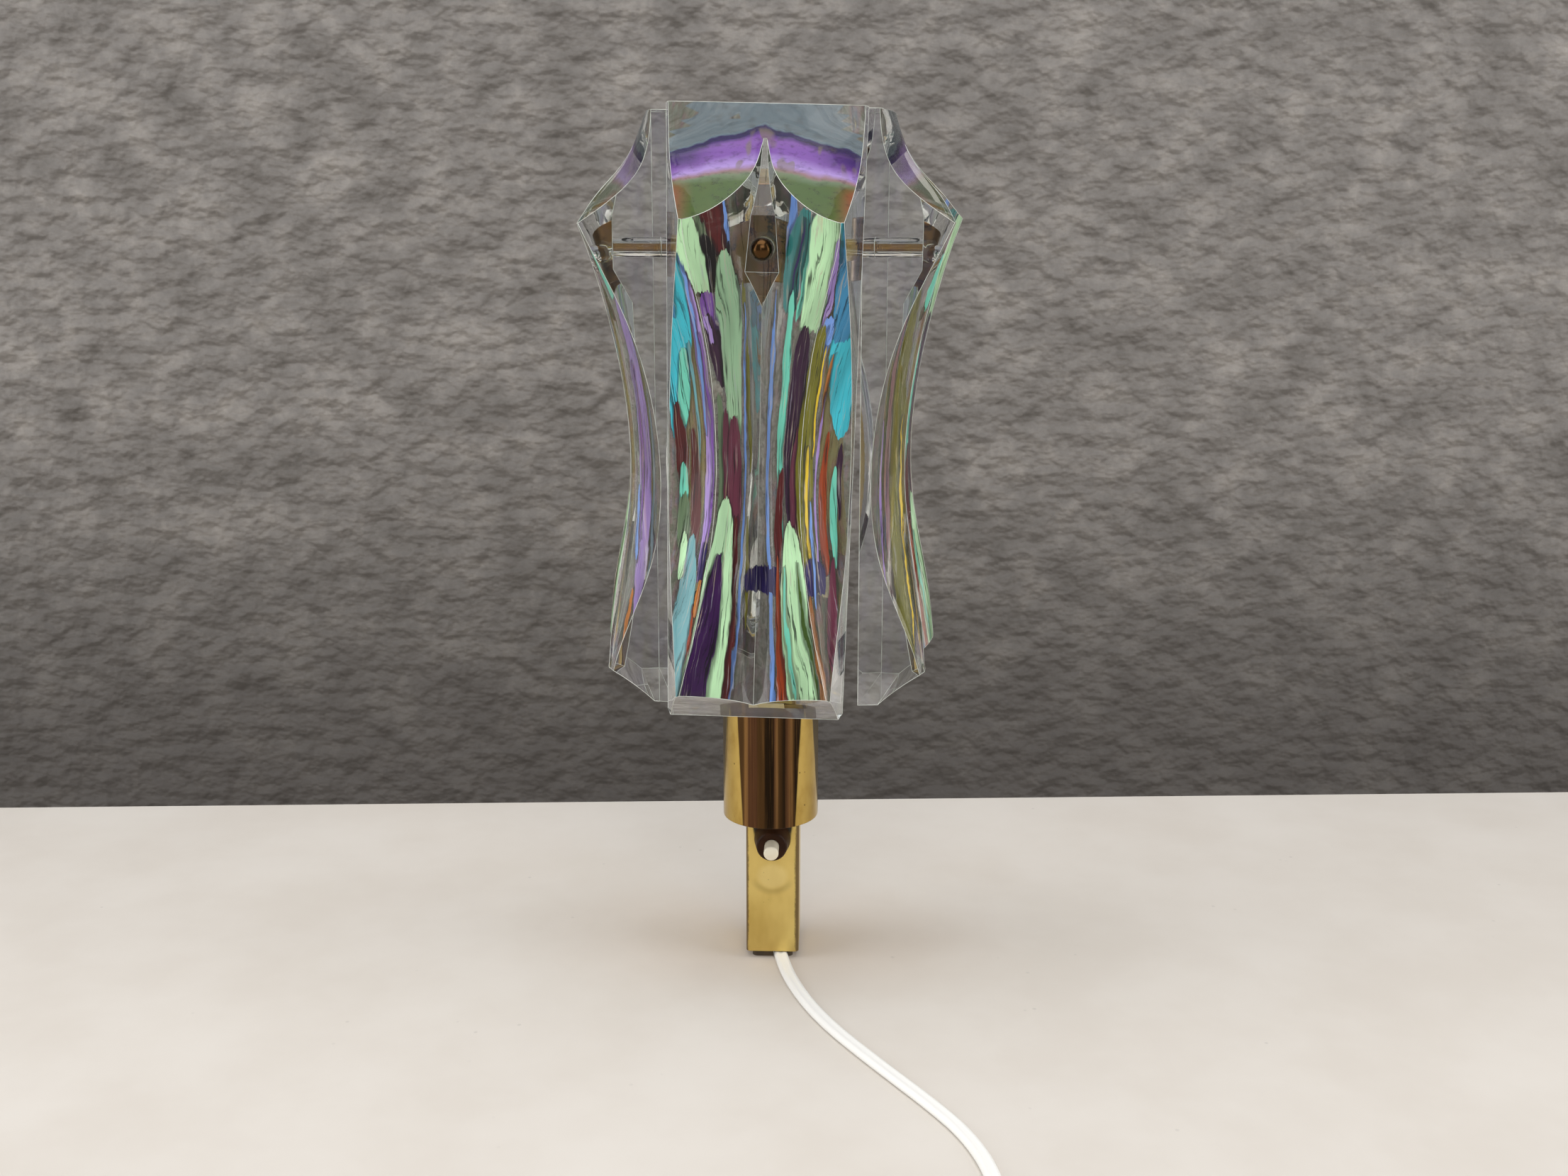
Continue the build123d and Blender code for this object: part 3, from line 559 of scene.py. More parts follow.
@dataclass(frozen=True)
class TubeBrass:
    """Polished lacquered brass of the lampholder tube: painted reflection streaks down its middle, painted
    shade on its sides.

    Attributes:
        radius: The tube's radius, in millimetres.
        top: Its upper end.
        bottom: Its lower end.
        streaks: Colours of the painted reflection across the tube, from its left side at 0 to its right side
            at 1.
    """

    radius: float = 17.7
    top: float = 12.5
    bottom: float = -77.5
    streaks: Stops = (
        (0.0, Tint.TARNISH_AND_SHADE), (0.2, Tint.LACQUER_BROWN), (0.235, Tint.LACQUER_BROWN), (0.25, Tint.BRONZE),
        (0.275, Tint.BRONZE), (0.29, Tint.RED_BROWN), (0.37, Tint.RED_BROWN), (0.39, Tint.LACQUER_BROWN),
        (0.45, Tint.LACQUER_BROWN), (0.465, Tint.TARNISH_AND_SHADE), (0.545, Tint.TARNISH_AND_SHADE), (0.56, Tint.RED_BROWN),
        (0.585, Tint.BRONZE), (0.6, Tint.LACQUER_BROWN), (0.66, Tint.TARNISH_AND_SHADE), (0.69, Tint.RED_BROWN),
        (0.735, Tint.BRONZE), (0.75, Tint.LACQUER_BROWN), (0.765, Tint.TARNISH_AND_SHADE), (1.0, Tint.TARNISH_AND_SHADE),
    )

    def build(self) -> bpy.types.Material:
        """Builds the material."""
        material, bench, shader, _ = new_material("tube_brass")
        vector, x, _, z = bench.place()
        wobble = bench.noise(bench.stretch(vector, (1.0, 1.0, 0.05)), 0.6, 4.0, 0.6)
        turn = x / self.radius + (wobble - 0.5) * 0.035
        lines = bench.noise(bench.stretch(vector, (1.0, 1.0, 0.012)), 1.7, 5.0, 0.7)
        # Painted reflection: brown and amber streaks down the tube's middle, narrowing towards its foot; the
        # gold shows only outside them.
        brown = bench.ramp((turn + 1.0) * 0.5, self.streaks)
        brown = bench.blend(bench.step(lines, 0.52, 0.72, 0.0, 0.5), brown, Tint.BRONZE)
        brown = bench.blend(bench.step(lines, 0.48, 0.3, 0.0, 0.6), brown, Tint.TARNISH_AND_SHADE)
        fall = (self.top - z) / (self.top - self.bottom)
        reach = bench.between(fall, 0.78, 0.54)
        side = abs(turn)
        middle = bench.step(side, reach + 0.02, reach - 0.01)
        cloud = bench.noise(bench.stretch(vector, (1, 1, 0.6)), 0.12, 4.0, 0.6)
        gold = bench.blend(bench.step(cloud, 0.35, 0.7), Tint.OLD_GOLD, Tint.OLD_GOLD_DEEP)
        gold = bench.blend(bench.specks(vector, 0.32, 0.14) * 0.8, gold, Tint.LACQUER_BROWN)
        # Painted shade: near-black, dull strips along the tube's left and right sides, wider towards its
        # top.
        limit = bench.between(fall, 0.72, 0.995)
        side_shade = bench.step(side, limit, limit + 0.02, 0.0, 0.92)
        colour = bench.blend(side_shade, bench.blend(middle, gold, brown), Tint.TARNISH_AND_SHADE)
        grain, bump = bench.grain(bench.stretch(vector, (1, 1, 0.04)), 1.4, 0.2, 0.1, 0.03)
        looks = {
            "Base Color": colour,
            "Metallic": bench.between(side_shade, 1.0, 0.0),
            "Roughness": bench.between(side_shade, grain, 0.6),
            "Normal": bump,
        }
        bench.wire(shader, looks)
        return material


@dataclass(frozen=True)
class ClearGlass:
    """Polished clear glass or plastic that lets light through.

    Attributes:
        name: The material's name.
        tone: Tint of what is seen through it.
        index: Index of refraction.
        roughness: Roughness of its surface.
    """

    name: str
    tone: Colour
    index: float = 1.5
    roughness: float = 0.015

    def build(self) -> bpy.types.Material:
        """Builds the material."""
        material, bench, shader, sink = new_material(self.name)
        vector, _, _, _ = bench.place()
        haze = bench.group("wear", {"Vector": vector, "Scale": 0.06, "Bias": -0.08})
        looks = {
            "Base Color": bench.blend(haze * 0.25, self.tone, (0.86, 0.88, 0.84, 1.0)),
            "Roughness": bench.between(haze, self.roughness, self.roughness + 0.03),
            "IOR": self.index,
            "Transmission Weight": 1.0,
        }
        glass = Term(bench, bench.wire(shader, looks).outputs[0])
        shadow = bench.add("LightPath", out="Is Shadow Ray")
        through = bench.add("BsdfTransparent", {0: (0.86, 0.88, 0.87, 1.0)})
        bench.add_output(sink, shadow, glass, through)
        return material


class Zone(Enum):
    """Faces of a crystal, by the way the film on them is coloured."""

    FLUTE = 0
    BEVEL = 1
    PLAIN = 2


@dataclass(frozen=True)
class Streak:
    """One blade of colour on the flutes.

    Attributes:
        paint: Its colour.
        start: Sideways place at its top, where 1 is the flute's outer ridge.
        end: Sideways place at its bottom.
        top: Height of its upper end, in millimetres from the hole.
        bottom: Height of its lower end.
        width: Half its greatest width.
        close: 1 for a blade that closes at both ends, 0 for one that stays open below.
        strength: How well it covers the glass.
    """

    paint: Tint
    start: float
    end: float
    top: float
    bottom: float
    width: float
    close: float = 1.0
    strength: float = 0.97


def streaks(*rows: tuple) -> tuple[Streak, ...]:
    """Streaks from rows of their values, in the order of the class's attributes."""
    return tuple(Streak(*row) for row in rows)


FRONT_STREAKS = streaks(
    (Tint.LILAC, -1.10, -1.20, 2, -112, 0.12),
    (Tint.TURQUOISE, -1.16, -1.92, 12, -66, 0.34),
    (Tint.DEEP_CYAN, -1.16, -1.50, 8, -26, 0.10),
    (Tint.SEA_GREEN, -1.48, -1.78, -36, -62, 0.14),
    (Tint.SKY, -1.08, -1.24, -2, -64, 0.035),
    (Tint.STONE_TEAL, -1.36, -1.44, -34, -76, 0.05),
    (Tint.VIOLET, -1.10, -1.12, -30, -100, 0.03),
    (Tint.MAROON, -1.88, -1.80, -54, -84, 0.16),
    (Tint.SEA_GREEN, -1.80, -1.74, -74, -92, 0.12),
    (Tint.SAGE, -1.76, -1.64, -84, -104, 0.15),
    (Tint.MAROON, -1.58, -1.38, -62, -108, 0.12),
    (Tint.STONE_TEAL, -1.48, -1.06, -98, -154, 0.17, 0.7),
    (Tint.MINT, -1.64, -1.52, -97, -113, 0.07),
    (Tint.RUST, -1.16, -0.98, -120, -142, 0.04),
    (Tint.INDIGO, -1.15, -1.12, -99, -113, 0.08),
    (Tint.AMBER, -1.12, -1.08, -111, -124, 0.06),
    (Tint.MAROON, -0.74, -0.58, 17, -6, 0.21),
    (Tint.SAGE, -0.86, -0.62, 8, -14, 0.09),
    (Tint.INK, -0.72, -0.82, 0, -21, 0.15),
    (Tint.MINT, -1.02, -0.88, 9, -17, 0.17, 0.9),
    (Tint.VIOLET, -0.80, -0.78, -17, -31, 0.17, 0.9),
    (Tint.PLUM, -0.86, -0.80, -24, -48, 0.14),
    (Tint.LILAC, -0.92, -0.86, -24, -34, 0.06),
    (Tint.SKY, -0.52, -0.36, 14, -24, 0.035),
    (Tint.INK, -0.46, -0.37, -1, -18, 0.05),
    (Tint.PALE_MINT, -0.50, -0.60, -4, -78, 0.21),
    (Tint.OLIVE, -0.30, -0.17, -13, -76, 0.055),
    (Tint.SKY, -0.28, -0.34, -20, -156, 0.03, 0.2),
    (Tint.SAGE, -0.90, -0.84, -50, -102, 0.10),
    (Tint.MAUVE, -0.78, -0.76, -55, -86, 0.10),
    (Tint.MAUVE, -0.58, -0.52, -57, -100, 0.18),
    (Tint.MAROON, -0.50, -0.42, -90, -160, 0.10, 0.4),
    (Tint.OLIVE, -0.22, -0.20, -90, -128, 0.04),
    (Tint.MINT, -0.76, -0.72, -84, -172, 0.30, 0.0),
    (Tint.GRAPE, -0.79, -0.84, -102, -172, 0.19, 0.3, 0.95),
    (Tint.SKY, 0.38, 0.42, 15, -16, 0.07),
    (Tint.TEAL, 0.58, 0.46, 9, -24, 0.20),
    (Tint.SEA_GREEN, 0.66, 0.60, 4, -26, 0.05),
    (Tint.INDIGO, 0.56, 0.44, 6, -20, 0.02),
    (Tint.MINT, 0.86, 0.86, 12, -29, 0.24, 0.85),
    (Tint.SKY, 0.24, 0.28, -16, -158, 0.045, 0.2),
    (Tint.SEA_GREEN, 0.48, 0.58, -16, -98, 0.085),
    (Tint.PLUM, 0.78, 0.88, -27, -98, 0.22, 0.95),
    (Tint.MAUVE, 0.92, 0.84, -60, -108, 0.10),
    (Tint.TURQUOISE, 1.14, 1.90, 10, -64, 0.30),
    (Tint.DEEP_CYAN, 1.16, 1.46, 6, -32, 0.20, 0.9),
    (Tint.LILAC, 1.00, 1.12, 0, -30, 0.06),
    (Tint.SKY, 1.18, 1.26, -24, -38, 0.10),
    (Tint.OLIVE, 1.12, 1.12, -27, -114, 0.20, 0.8),
    (Tint.YELLOW, 1.28, 1.30, -33, -70, 0.03),
    (Tint.YELLOW, 1.18, 1.12, -66, -110, 0.035),
    (Tint.AMBER, 1.44, 1.42, -36, -66, 0.04),
    (Tint.LILAC, 1.46, 1.26, -48, -114, 0.03),
    (Tint.RUST, 1.62, 1.42, -62, -110, 0.11),
    (Tint.PLUM, 1.94, 1.90, -66, -92, 0.09),
    (Tint.SEA_GREEN, 1.86, 1.66, -74, -108, 0.10),
    (Tint.MAUVE, 1.62, 1.18, -104, -144, 0.10),
    (Tint.INDIGO, 0.16, 0.20, -107, -116, 0.46, 0.8),
    (Tint.INDIGO, 1.20, 1.18, -104, -116, 0.22, 0.9),
    (Tint.MAROON, 0.60, 0.44, -74, -108, 0.10),
    (Tint.RUST, 0.46, 0.38, -103, -162, 0.07, 0.4),
    (Tint.MINT, 0.77, 0.68, -92, -172, 0.25, 0.0),
    (Tint.SEA_GREEN, 0.60, 0.56, -106, -150, 0.04),
    (Tint.MOSS, 0.86, 0.92, -104, -150, 0.03),
    (Tint.SKY, 1.25, 1.14, -84, -120, 0.035),
    (Tint.AMBER, 1.04, 1.00, -116, -150, 0.06, 0.6, 0.6),
)
SHARED_STREAKS = tuple(streak for streak in FRONT_STREAKS if streak.start > 0)
LEFT_STREAKS = SHARED_STREAKS + streaks(
    (Tint.LILAC, -1.34, -1.36, -10, -130, 0.22, 1.0, 0.85),
    (Tint.VIOLET, -1.22, -1.26, -40, -104, 0.03),
    (Tint.STEEL_BLUE, -1.70, -1.60, -50, -120, 0.06),
    (Tint.SKY, -1.14, -1.20, -84, -112, 0.04),
    (Tint.SEA_GREEN, -1.06, -1.16, -2, -20, 0.08),
    (Tint.AMBER, -1.20, -1.10, -122, -140, 0.05),
)
RIGHT_STREAKS = SHARED_STREAKS + streaks(
    (Tint.OLIVE, -1.34, -1.26, -16, -150, 0.20, 1.0, 0.95),
    (Tint.YELLOW, -1.18, -1.16, -60, -140, 0.025),
    (Tint.PINK_SMOKE, -1.55, -1.50, -20, -110, 0.08),
    (Tint.LILAC, -1.72, -1.66, -60, -120, 0.04),
    (Tint.SEA_GREEN, -1.04, -1.10, -4, -24, 0.06),
)


@dataclass(frozen=True)
class Film:
    """The crystals' thin coloured film, drawn in the panel's own coordinates: dichroic colours laid out as
    painted reflections.

    Attributes:
        name: Start of the materials' names.
        streaks: The blades of colour on it.
        mirror: 1, or -1 for a panel whose streaks run the other way round.
        drift: Sideways shift of the streaks, so that no two panels match.
        cover: How well the film hides the glass, from 0 to 1.
        bevel_cover: The same, for the top bevel.
        ridge: Half width of the panel's waist at heights from the hole, in millimetres.
        ridge_unit: Width that counts as 1 on the curve of the ridge.
    """

    name: str
    streaks: tuple[Streak, ...]
    mirror: float = 1.0
    drift: float = 0.0
    cover: float = 1.0
    bevel_cover: float = 0.86
    ridge: tuple = ((-160, 24.2), (-142, 23.8), (-123, 19.4), (-103, 15.9), (-79, 13.5),
                    (-53, 13.9), (-30, 16.4), (-10, 20.6), (8, 23.6), (47, 22.2))
    ridge_unit: float = 30.0

    def build(self) -> list[bpy.types.Material]:
        """Builds one material for each zone, in the zones' order."""
        return [self.flute(), self.bevel(), self.plain()]

    def finish(self, bench: Bench, shader: bpy.types.Node, colour: Term, cover: Term) -> None:
        """Wires colour and cover to a glossy shader.

        Args:
            bench: The bench to draw on.
            shader: The Principled node.
            colour: The film's colour.
            cover: Its cover, before the panel's own.
        """
        looks = {
            "Base Color": colour,
            "Roughness": 0.35,
            "Specular IOR Level": 0.15,
            "Coat Weight": 0.25,
            "Coat Roughness": 0.03,
            "Alpha": cover * self.cover,
        }
        bench.wire(shader, looks)

    def ridge_width(self, bench: Bench, v: Term) -> Term:
        """Half width of the panel's waist at a height, in ridge units."""
        low, high = self.ridge[0][0], self.ridge[-1][0]
        ridge = bench.add("FloatCurve", {"Value": bench.add("MapRange", {0: v, 1: low, 2: high})})
        curve = ridge.socket.node.mapping
        points = curve.curves[0].points
        while len(points) < len(self.ridge):
            points.new(0.5, 0.5)
        for point, (height, width) in zip(points, self.ridge):
            point.location = ((height - low) / (high - low), width / self.ridge_unit)
        curve.update()
        return ridge

    def blades(self, bench: Bench, across: Term, height: Term, colour: Term,
               cover: Term) -> tuple[Term, Term]:
        """Lays the streaks over a ground.

        Args:
            bench: The bench to draw on.
            across: Sideways place, where 1 is the flute's outer ridge.
            height: Height from the hole, in millimetres.
            colour: The ground's colour.
            cover: The ground's cover.

        Returns:
            The colour and the cover with the streaks.
        """
        for streak in self.streaks:
            inputs = {
                "Under": colour, "Cover": cover, "Across": across, "Height": height,
                "Paint": streak.paint, "Strength": streak.strength, "Top": streak.top,
                "Bottom": streak.bottom, "From": streak.start, "To": streak.end,
                "Width": streak.width, "Close": streak.close,
            }
            colour = bench.group("blade", inputs, "Colour")
            cover = colour.other("Cover")
        return colour, cover

    def flute(self) -> bpy.types.Material:
        """Painted reflections in dichroic colours: streaks that follow the flutes from top to bottom."""
        material, bench, shader, _ = new_material(self.name + "_flutes")
        vector, u, _, v = bench.place()
        across = u * (-self.mirror / self.ridge_unit) / self.ridge_width(bench, v)
        long_wave = bench.noise(bench.stretch(vector, (0.6, 0.2, 0.12)), 0.22, 3.0, 0.55)
        fine_wave = bench.noise(bench.stretch(vector, (1.0, 0.3, 0.10)), 0.9, 3.0, 0.6)
        across = across + (long_wave - 0.5) * 0.26 + (fine_wave - 0.5) * 0.05 + self.drift
        height = v * 1.033 - 3.6 + (fine_wave - 0.5) * 6.0
        lanes = bench.add("CombineXYZ", {0: across, 1: v * 0.012})
        veil = bench.noise(lanes, 7.0, 4.0, 0.6)
        veil_colours = (
            (0.25, Tint.OLIVE), (0.38, Tint.SMOKE), (0.45, Tint.SAGE), (0.52, Tint.SMOKE),
            (0.58, Tint.PINK_SMOKE), (0.66, Tint.STEEL_BLUE), (0.76, Tint.RED_BROWN),
        )
        cover = bench.step(abs(across), 0.16, 0.5, 0.18, 0.55) * bench.step(veil, 0.35, 0.7, 0.6, 1.1)
        colour, cover = self.blades(bench, across, height, bench.ramp(veil, veil_colours), cover)
        # Painted refraction lines: fine dark hairs, and light hairs that are painted glints.
        hairs = bench.noise(bench.stretch(lanes, (1, 0.1, 1)), 30.0, 2.0, 0.6)
        grouped = bench.step(bench.noise(lanes, 5.0, 2.0), 0.38, 0.58, 0.2, 1.0)
        dark_hairs = bench.step(hairs, 0.54, 0.64, 0.0, 0.85) * grouped
        painted_glint_hairs = bench.step(hairs, 0.44, 0.34, 0.0, 0.6) * grouped
        colour = bench.blend(dark_hairs, colour, Tint.INK)
        colour = bench.blend(painted_glint_hairs, colour, bench.blend(veil, Tint.SKY, Tint.YELLOW))
        shading = bench.step(bench.noise(lanes, 2.2, 2.0), 0.3, 0.7, 0.66, 1.06)
        colour = bench.add("VectorMath", {0: colour, "Scale": shading}, operation="SCALE")
        self.finish(bench, shader, colour, bench.calc("MAXIMUM", cover, dark_hairs * 0.7))
        return material

    def bevel(self) -> bpy.types.Material:
        """Arched bands of violet and green on the top bevel."""
        material, bench, shader, _ = new_material(self.name + "_bevel")
        vector, u, _, v = bench.place()
        wave = bench.noise(vector, 0.10, 3.0, 0.55)
        level = v + (wave - 0.5) * 3.5
        off = abs(u)
        upper = 36.8 - off * 0.3
        bands = (
            (0.0, Tint.MOSS), (0.36, Tint.MOSS), (0.42, Tint.SAGE), (0.45, Tint.PINK_SMOKE),
            (0.50, Tint.LILAC), (0.60, Tint.VIOLET), (0.72, Tint.VIOLET), (0.765, Tint.INDIGO),
            (0.795, Tint.INDIGO), (0.81, Tint.STEEL_BLUE), (1.0, Tint.STEEL_BLUE),
        )
        colour = bench.ramp((level - 8.0) / (upper - 8.0) * 0.8, bands)
        rise = bench.add("MapRange", {0: level, 1: (56.6 - upper) * 0.5, 2: upper})
        outer = bench.step(off, 12.0, 28.0) * bench.step(rise, 0.55, 0.8)
        outer = outer * bench.step(level, upper + 0.5, upper)
        colour = bench.blend(outer * 0.8, colour, Tint.INDIGO)
        corner = bench.step(off, 20.0, 28.0) * bench.step(level, 21.0, 15.0)
        colour = bench.blend(corner, colour, bench.blend(wave, Tint.RUST, Tint.SMOKE))
        patch = bench.noise(bench.stretch(vector, (1.0, 1.0, 0.12)), 0.16, 1.0)
        patch = bench.step(patch, 0.6, 0.66, 0.0, 0.7) * bench.step(level, 20.0, 26.0)
        patch = patch * bench.step(level, upper, upper - 1.5)
        colour = bench.blend(patch, colour, Tint.SMOKE)
        # Painted highlight: lighter blue-grey clouds on the steel-blue top of the bevel.
        painted_sheen = bench.noise(bench.stretch(vector, (1, 1, 0.6)), 0.06, 2.0)
        painted_sheen = bench.step(painted_sheen, 0.45, 0.7, 0.0, 0.55) * bench.step(level, upper, upper + 3.0)
        colour = bench.blend(painted_sheen, colour, srgb(150, 166, 172))
        cloud = bench.noise(bench.stretch(vector, (1, 1, 2)), 0.35, 4.0, 0.6)
        colour = bench.blend(bench.step(cloud, 0.48, 0.72, 0.0, 0.4), colour, Tint.INK)
        cover = bench.step(level, upper + 1.0, upper, self.bevel_cover * 0.7, self.bevel_cover)
        self.finish(bench, shader, colour, cover)
        return material

    def plain(self) -> bpy.types.Material:
        """Painted glints: a faint warm and cool shimmer on the sides and the bottom."""
        material, bench, shader, _ = new_material(self.name + "_plain")
        vector, _, _, _ = bench.place()
        wave = bench.noise(bench.stretch(vector, (1, 1, 0.25)), 0.12, 3.0, 0.6)
        glint_colours = (
            (0.3, Tint.OLIVE), (0.45, Tint.SMOKE), (0.55, Tint.LILAC),
            (0.66, Tint.STEEL_BLUE), (0.75, Tint.AMBER),
        )
        self.finish(bench, shader, bench.ramp(wave, glint_colours), bench.step(wave, 0.5, 0.72, 0.02, 0.16))
        return material


# ---------------------------------------------------------------- mesh building
def make_piece(name: str, data: bpy.types.ID, finish: Optional[bpy.types.Material], body: str,
               place: Optional[Matrix] = None) -> bpy.types.Object:
    """Puts a mesh or curve in the scene as a piece that rides on a body.

    Args:
        name: The piece's name.
        data: Its mesh or curve.
        finish: Its material, or None where the mesh already has its own.
        body: The body it rides on.
        place: Where its own frame is, or None for the world's.

    Returns:
        The new object.
    """
    piece = bpy.data.objects.new(name, data)
    bpy.context.scene.collection.objects.link(piece)
    if finish is not None:
        data.materials.append(finish)
    if place is not None:
        piece.matrix_world = place
    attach(piece, body)
    return piece


def new_mesh(name: str, points: Sequence, faces: Sequence) -> bpy.types.Mesh:
    """A mesh from points and faces."""
    mesh = bpy.data.meshes.new(name)
    mesh.from_pydata(points, [], faces)
    return mesh


def tube_mesh(name: str, path: Sequence[Vector], outline: Sequence[tuple[float, float]],
              across: Optional[Vector] = None) -> bpy.types.Mesh:
    """Sweeps an outline along a path and closes both ends.

    Args:
        name: The mesh's name.
        path: Points to follow.
        outline: Points of the outline in millimetres: sideways, then up.
        across: Fixed sideways direction; without it the outline stays level.

    Returns:
        The mesh.
    """
    count = len(outline)
    points, faces = [], []
    for i, here in enumerate(path):
        ahead = (path[min(i + 1, len(path) - 1)] - path[max(i - 1, 0)]).normalized()
        side = across if across is not None else UP.cross(ahead).normalized()
        up = ahead.cross(side).normalized()
        points += [here + (side * a + up * b) * MM for a, b in outline]
    for i in range(len(path) - 1):
        for j in range(count):
            k = (j + 1) % count
            faces.append((i * count + j, i * count + k, (i + 1) * count + k, (i + 1) * count + j))
    faces.append(tuple(range(count - 1, -1, -1)))
    faces.append(tuple((len(path) - 1) * count + j for j in range(count)))
    mesh = new_mesh(name, points, faces)
    mesh.shade_smooth()
    return mesh


def smooth_line(name: str, corners: Sequence[Sequence[float]], steps: int) -> list[Vector]:
    """Points of the smooth line that a cord's route points steer.

    Args:
        name: A name for the curve while it exists.
        corners: Route points, in metres.
        steps: Points for each route point.

    Returns:
        The line's points, in order.
    """
    curve = bpy.data.curves.new(name, "CURVE")
    curve.dimensions = "3D"
    curve.resolution_u = steps
    spline = curve.splines.new("NURBS")
    spline.points.add(len(corners) - 1)
    for point, corner in zip(spline.points, corners):
        point.co = (*corner, 1.0)
    spline.order_u = 3
    spline.use_endpoint_u = True
    holder = bpy.data.objects.new(name, curve)
    bpy.context.scene.collection.objects.link(holder)
    bpy.context.view_layer.update()
    graph = bpy.context.evaluated_depsgraph_get()
    mesh = bpy.data.meshes.new_from_object(holder.evaluated_get(graph))
    line = [vertex.co.copy() for vertex in mesh.vertices]
    bpy.data.meshes.remove(mesh)
    bpy.data.objects.remove(holder)
    bpy.data.curves.remove(curve)
    return line


# ---------------------------------------------------------------- cord
@dataclass
class FlatCord:
    """The flat twin cord: free stretch, spare coil with its tie, and last stretch to the plug.

    Attributes:
        width: Width of the sheath, in millimetres.
        thickness: Thickness of the sheath.
        groove: Depth of the groove between its two cores.
        level: Height of its centre line on the table.
        coil_radius: Radius of the coil's widest half turns.
        pitch: How much the radius drops in a whole turn.
        climb: Height from one layer of the coil to the next.
        layers: Layers of the coil.
        turn_steps: Half turns in a layer.
        corners_each: Route points of a half turn.
        length: Its whole length outside the channel; not used.
        entry_y: How far behind the channel's front the hidden stretch comes down.
        tie_width: Width of the band that holds the coil.
        tie_thickness: Its thickness.
        route: Points of the free stretch, seen from above.
        tail: The last stretch: length, heading in degrees and drop of each run.
        tie_loop: The band's line round the coil's turns: sideways, then up.
    """

    width: float = 5.4
    thickness: float = 2.8
    groove: float = 0.34
    level: float = -145.6
    coil_radius: float = 34.0
    pitch: float = 6.0
    climb: float = 3.3
    layers: int = 4
    turn_steps: int = 4
    corners_each: int = 8
    length: float = 1717.7
    entry_y: float = -6.0
    tie_width: float = 5.0
    tie_thickness: float = 0.5
    route: tuple = (
        (3.1, -24.0), (4.6, -33.0), (8.0, -47.0), (14.2, -64.5), (23.0, -82.5), (34.0, -100.0),
        (45.4, -117.0), (56.6, -133.5), (66.6, -150.0), (73.0, -168.5), (75.0, -189.0),
        (75.6, -209.0), (75.6, -228.0),
    )
    tail: tuple = ((18.0, 270, 0.0), (19.0, 252, 1.5), (19.0, 228, 1.5), (19.0, 204, 1.45), (14.0, 180, 0.0))
    tie_loop: tuple = (
        (14.0, -134.0), (10.0, -134.2), (7.0, -135.6), (5.2, -137.8), (4.6, -141.0), (4.6, -144.6),
        (5.4, -146.2), (7.0, -146.75), (15.2, -146.75), (18.4, -145.8), (21.2, -143.4), (22.5, -140.6),
        (22.6, -136.0), (21.8, -134.5), (20.4, -134.0), (11.0, -133.6), (9.4, -133.8),
    )

    def outline(self) -> list[tuple[float, float]]:
        """The sheath's section: two round cores side by side with a groove between them."""
        half, core = self.width / 2, self.thickness / 2
        points = []
        for side in (1, -1):
            for step in range(9):
                angle = math.radians(-108 + 27 * step)
                points.append((side * (half - core + core * math.cos(angle)), side * core * math.sin(angle)))
            points.append((0.0, side * (core - self.groove)))
        return points

    def coil_corners(self) -> tuple[list, tuple[float, float, float]]:
        """Route points of the coil by its own rule: half turns whose radius steps in and out again.

        Returns:
            The points, and where the coil ends.
        """
        (x, y), height, side = self.route[-1], self.level, 1
        stretch = 1 / math.cos(math.pi / 2 / self.corners_each)
        corners = []
        for step in range(self.turn_steps * self.layers):
            beat = abs(self.turn_steps - step % (2 * self.turn_steps))
            radius = self.coil_radius - self.pitch / 2 * (self.turn_steps - beat)
            rise = self.climb if step and step % self.turn_steps == 0 else 0
            for k in range(self.corners_each):
                angle = math.pi * (k + 0.5) / self.corners_each
                reach = side * radius
                across = x - reach + reach * stretch * math.cos(angle)
                along = y - reach * stretch * math.sin(angle)
                corners.append((across, along, height + rise * (1 - math.cos(angle)) / 2))
            x, height, side = x - 2 * side * radius, height + rise, -side
        return corners, (x, y, height)

    def corners(self) -> list[tuple[float, float, float]]:
        """All route points from the foot of the channel to the plug, in metres."""
        points = [(x, y, self.level) for x, y in self.route]
        coil, here = self.coil_corners()
        points += coil + [here]
        x, y, z = here
        for run, heading, drop in self.tail:
            turn = math.radians(heading)
            x, y, z = x + run * math.cos(turn), y + run * math.sin(turn), z - drop
            points.append((x, y, z))
        return [(a * MM, b * MM, c * MM) for a, b, c in points]

    def build(self, finish: bpy.types.Material) -> None:
        """Builds the cord, its hidden entry and the coil's tie.

        Args:
            finish: The sheath's material.
        """
        corners = self.corners()
        line = smooth_line("cord_line", corners, 5)
        mesh = tube_mesh("flat_cord", line, self.outline())
        piece = make_piece("flat_cord", mesh, finish, LAMP)
        tie = self.tie(finish)
        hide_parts("cord", "cord_coil", "cord_tail")
        self.width * MM
        self.entry(finish)

    def tie(self, finish: bpy.types.Material) -> bpy.types.Object:
        """A flat band round the coil's far side, which holds its turns together.

        Args:
            finish: The band's material.

        Returns:
            The band.
        """
        y = self.route[-1][1]
        path = [Vector((x, y, z)) * MM for x, z in self.tie_loop]
        half, thick = self.tie_width / 2, self.tie_thickness / 2
        outline = [(-half, -thick), (half, -thick), (half, thick), (-half, thick)]
        mesh = tube_mesh("cord_tie", path, outline, Vector((0, 1, 0)))
        mesh.set_sharp_from_angle(angle=math.radians(40))
        return make_piece("cord_tie", mesh, finish, LAMP)

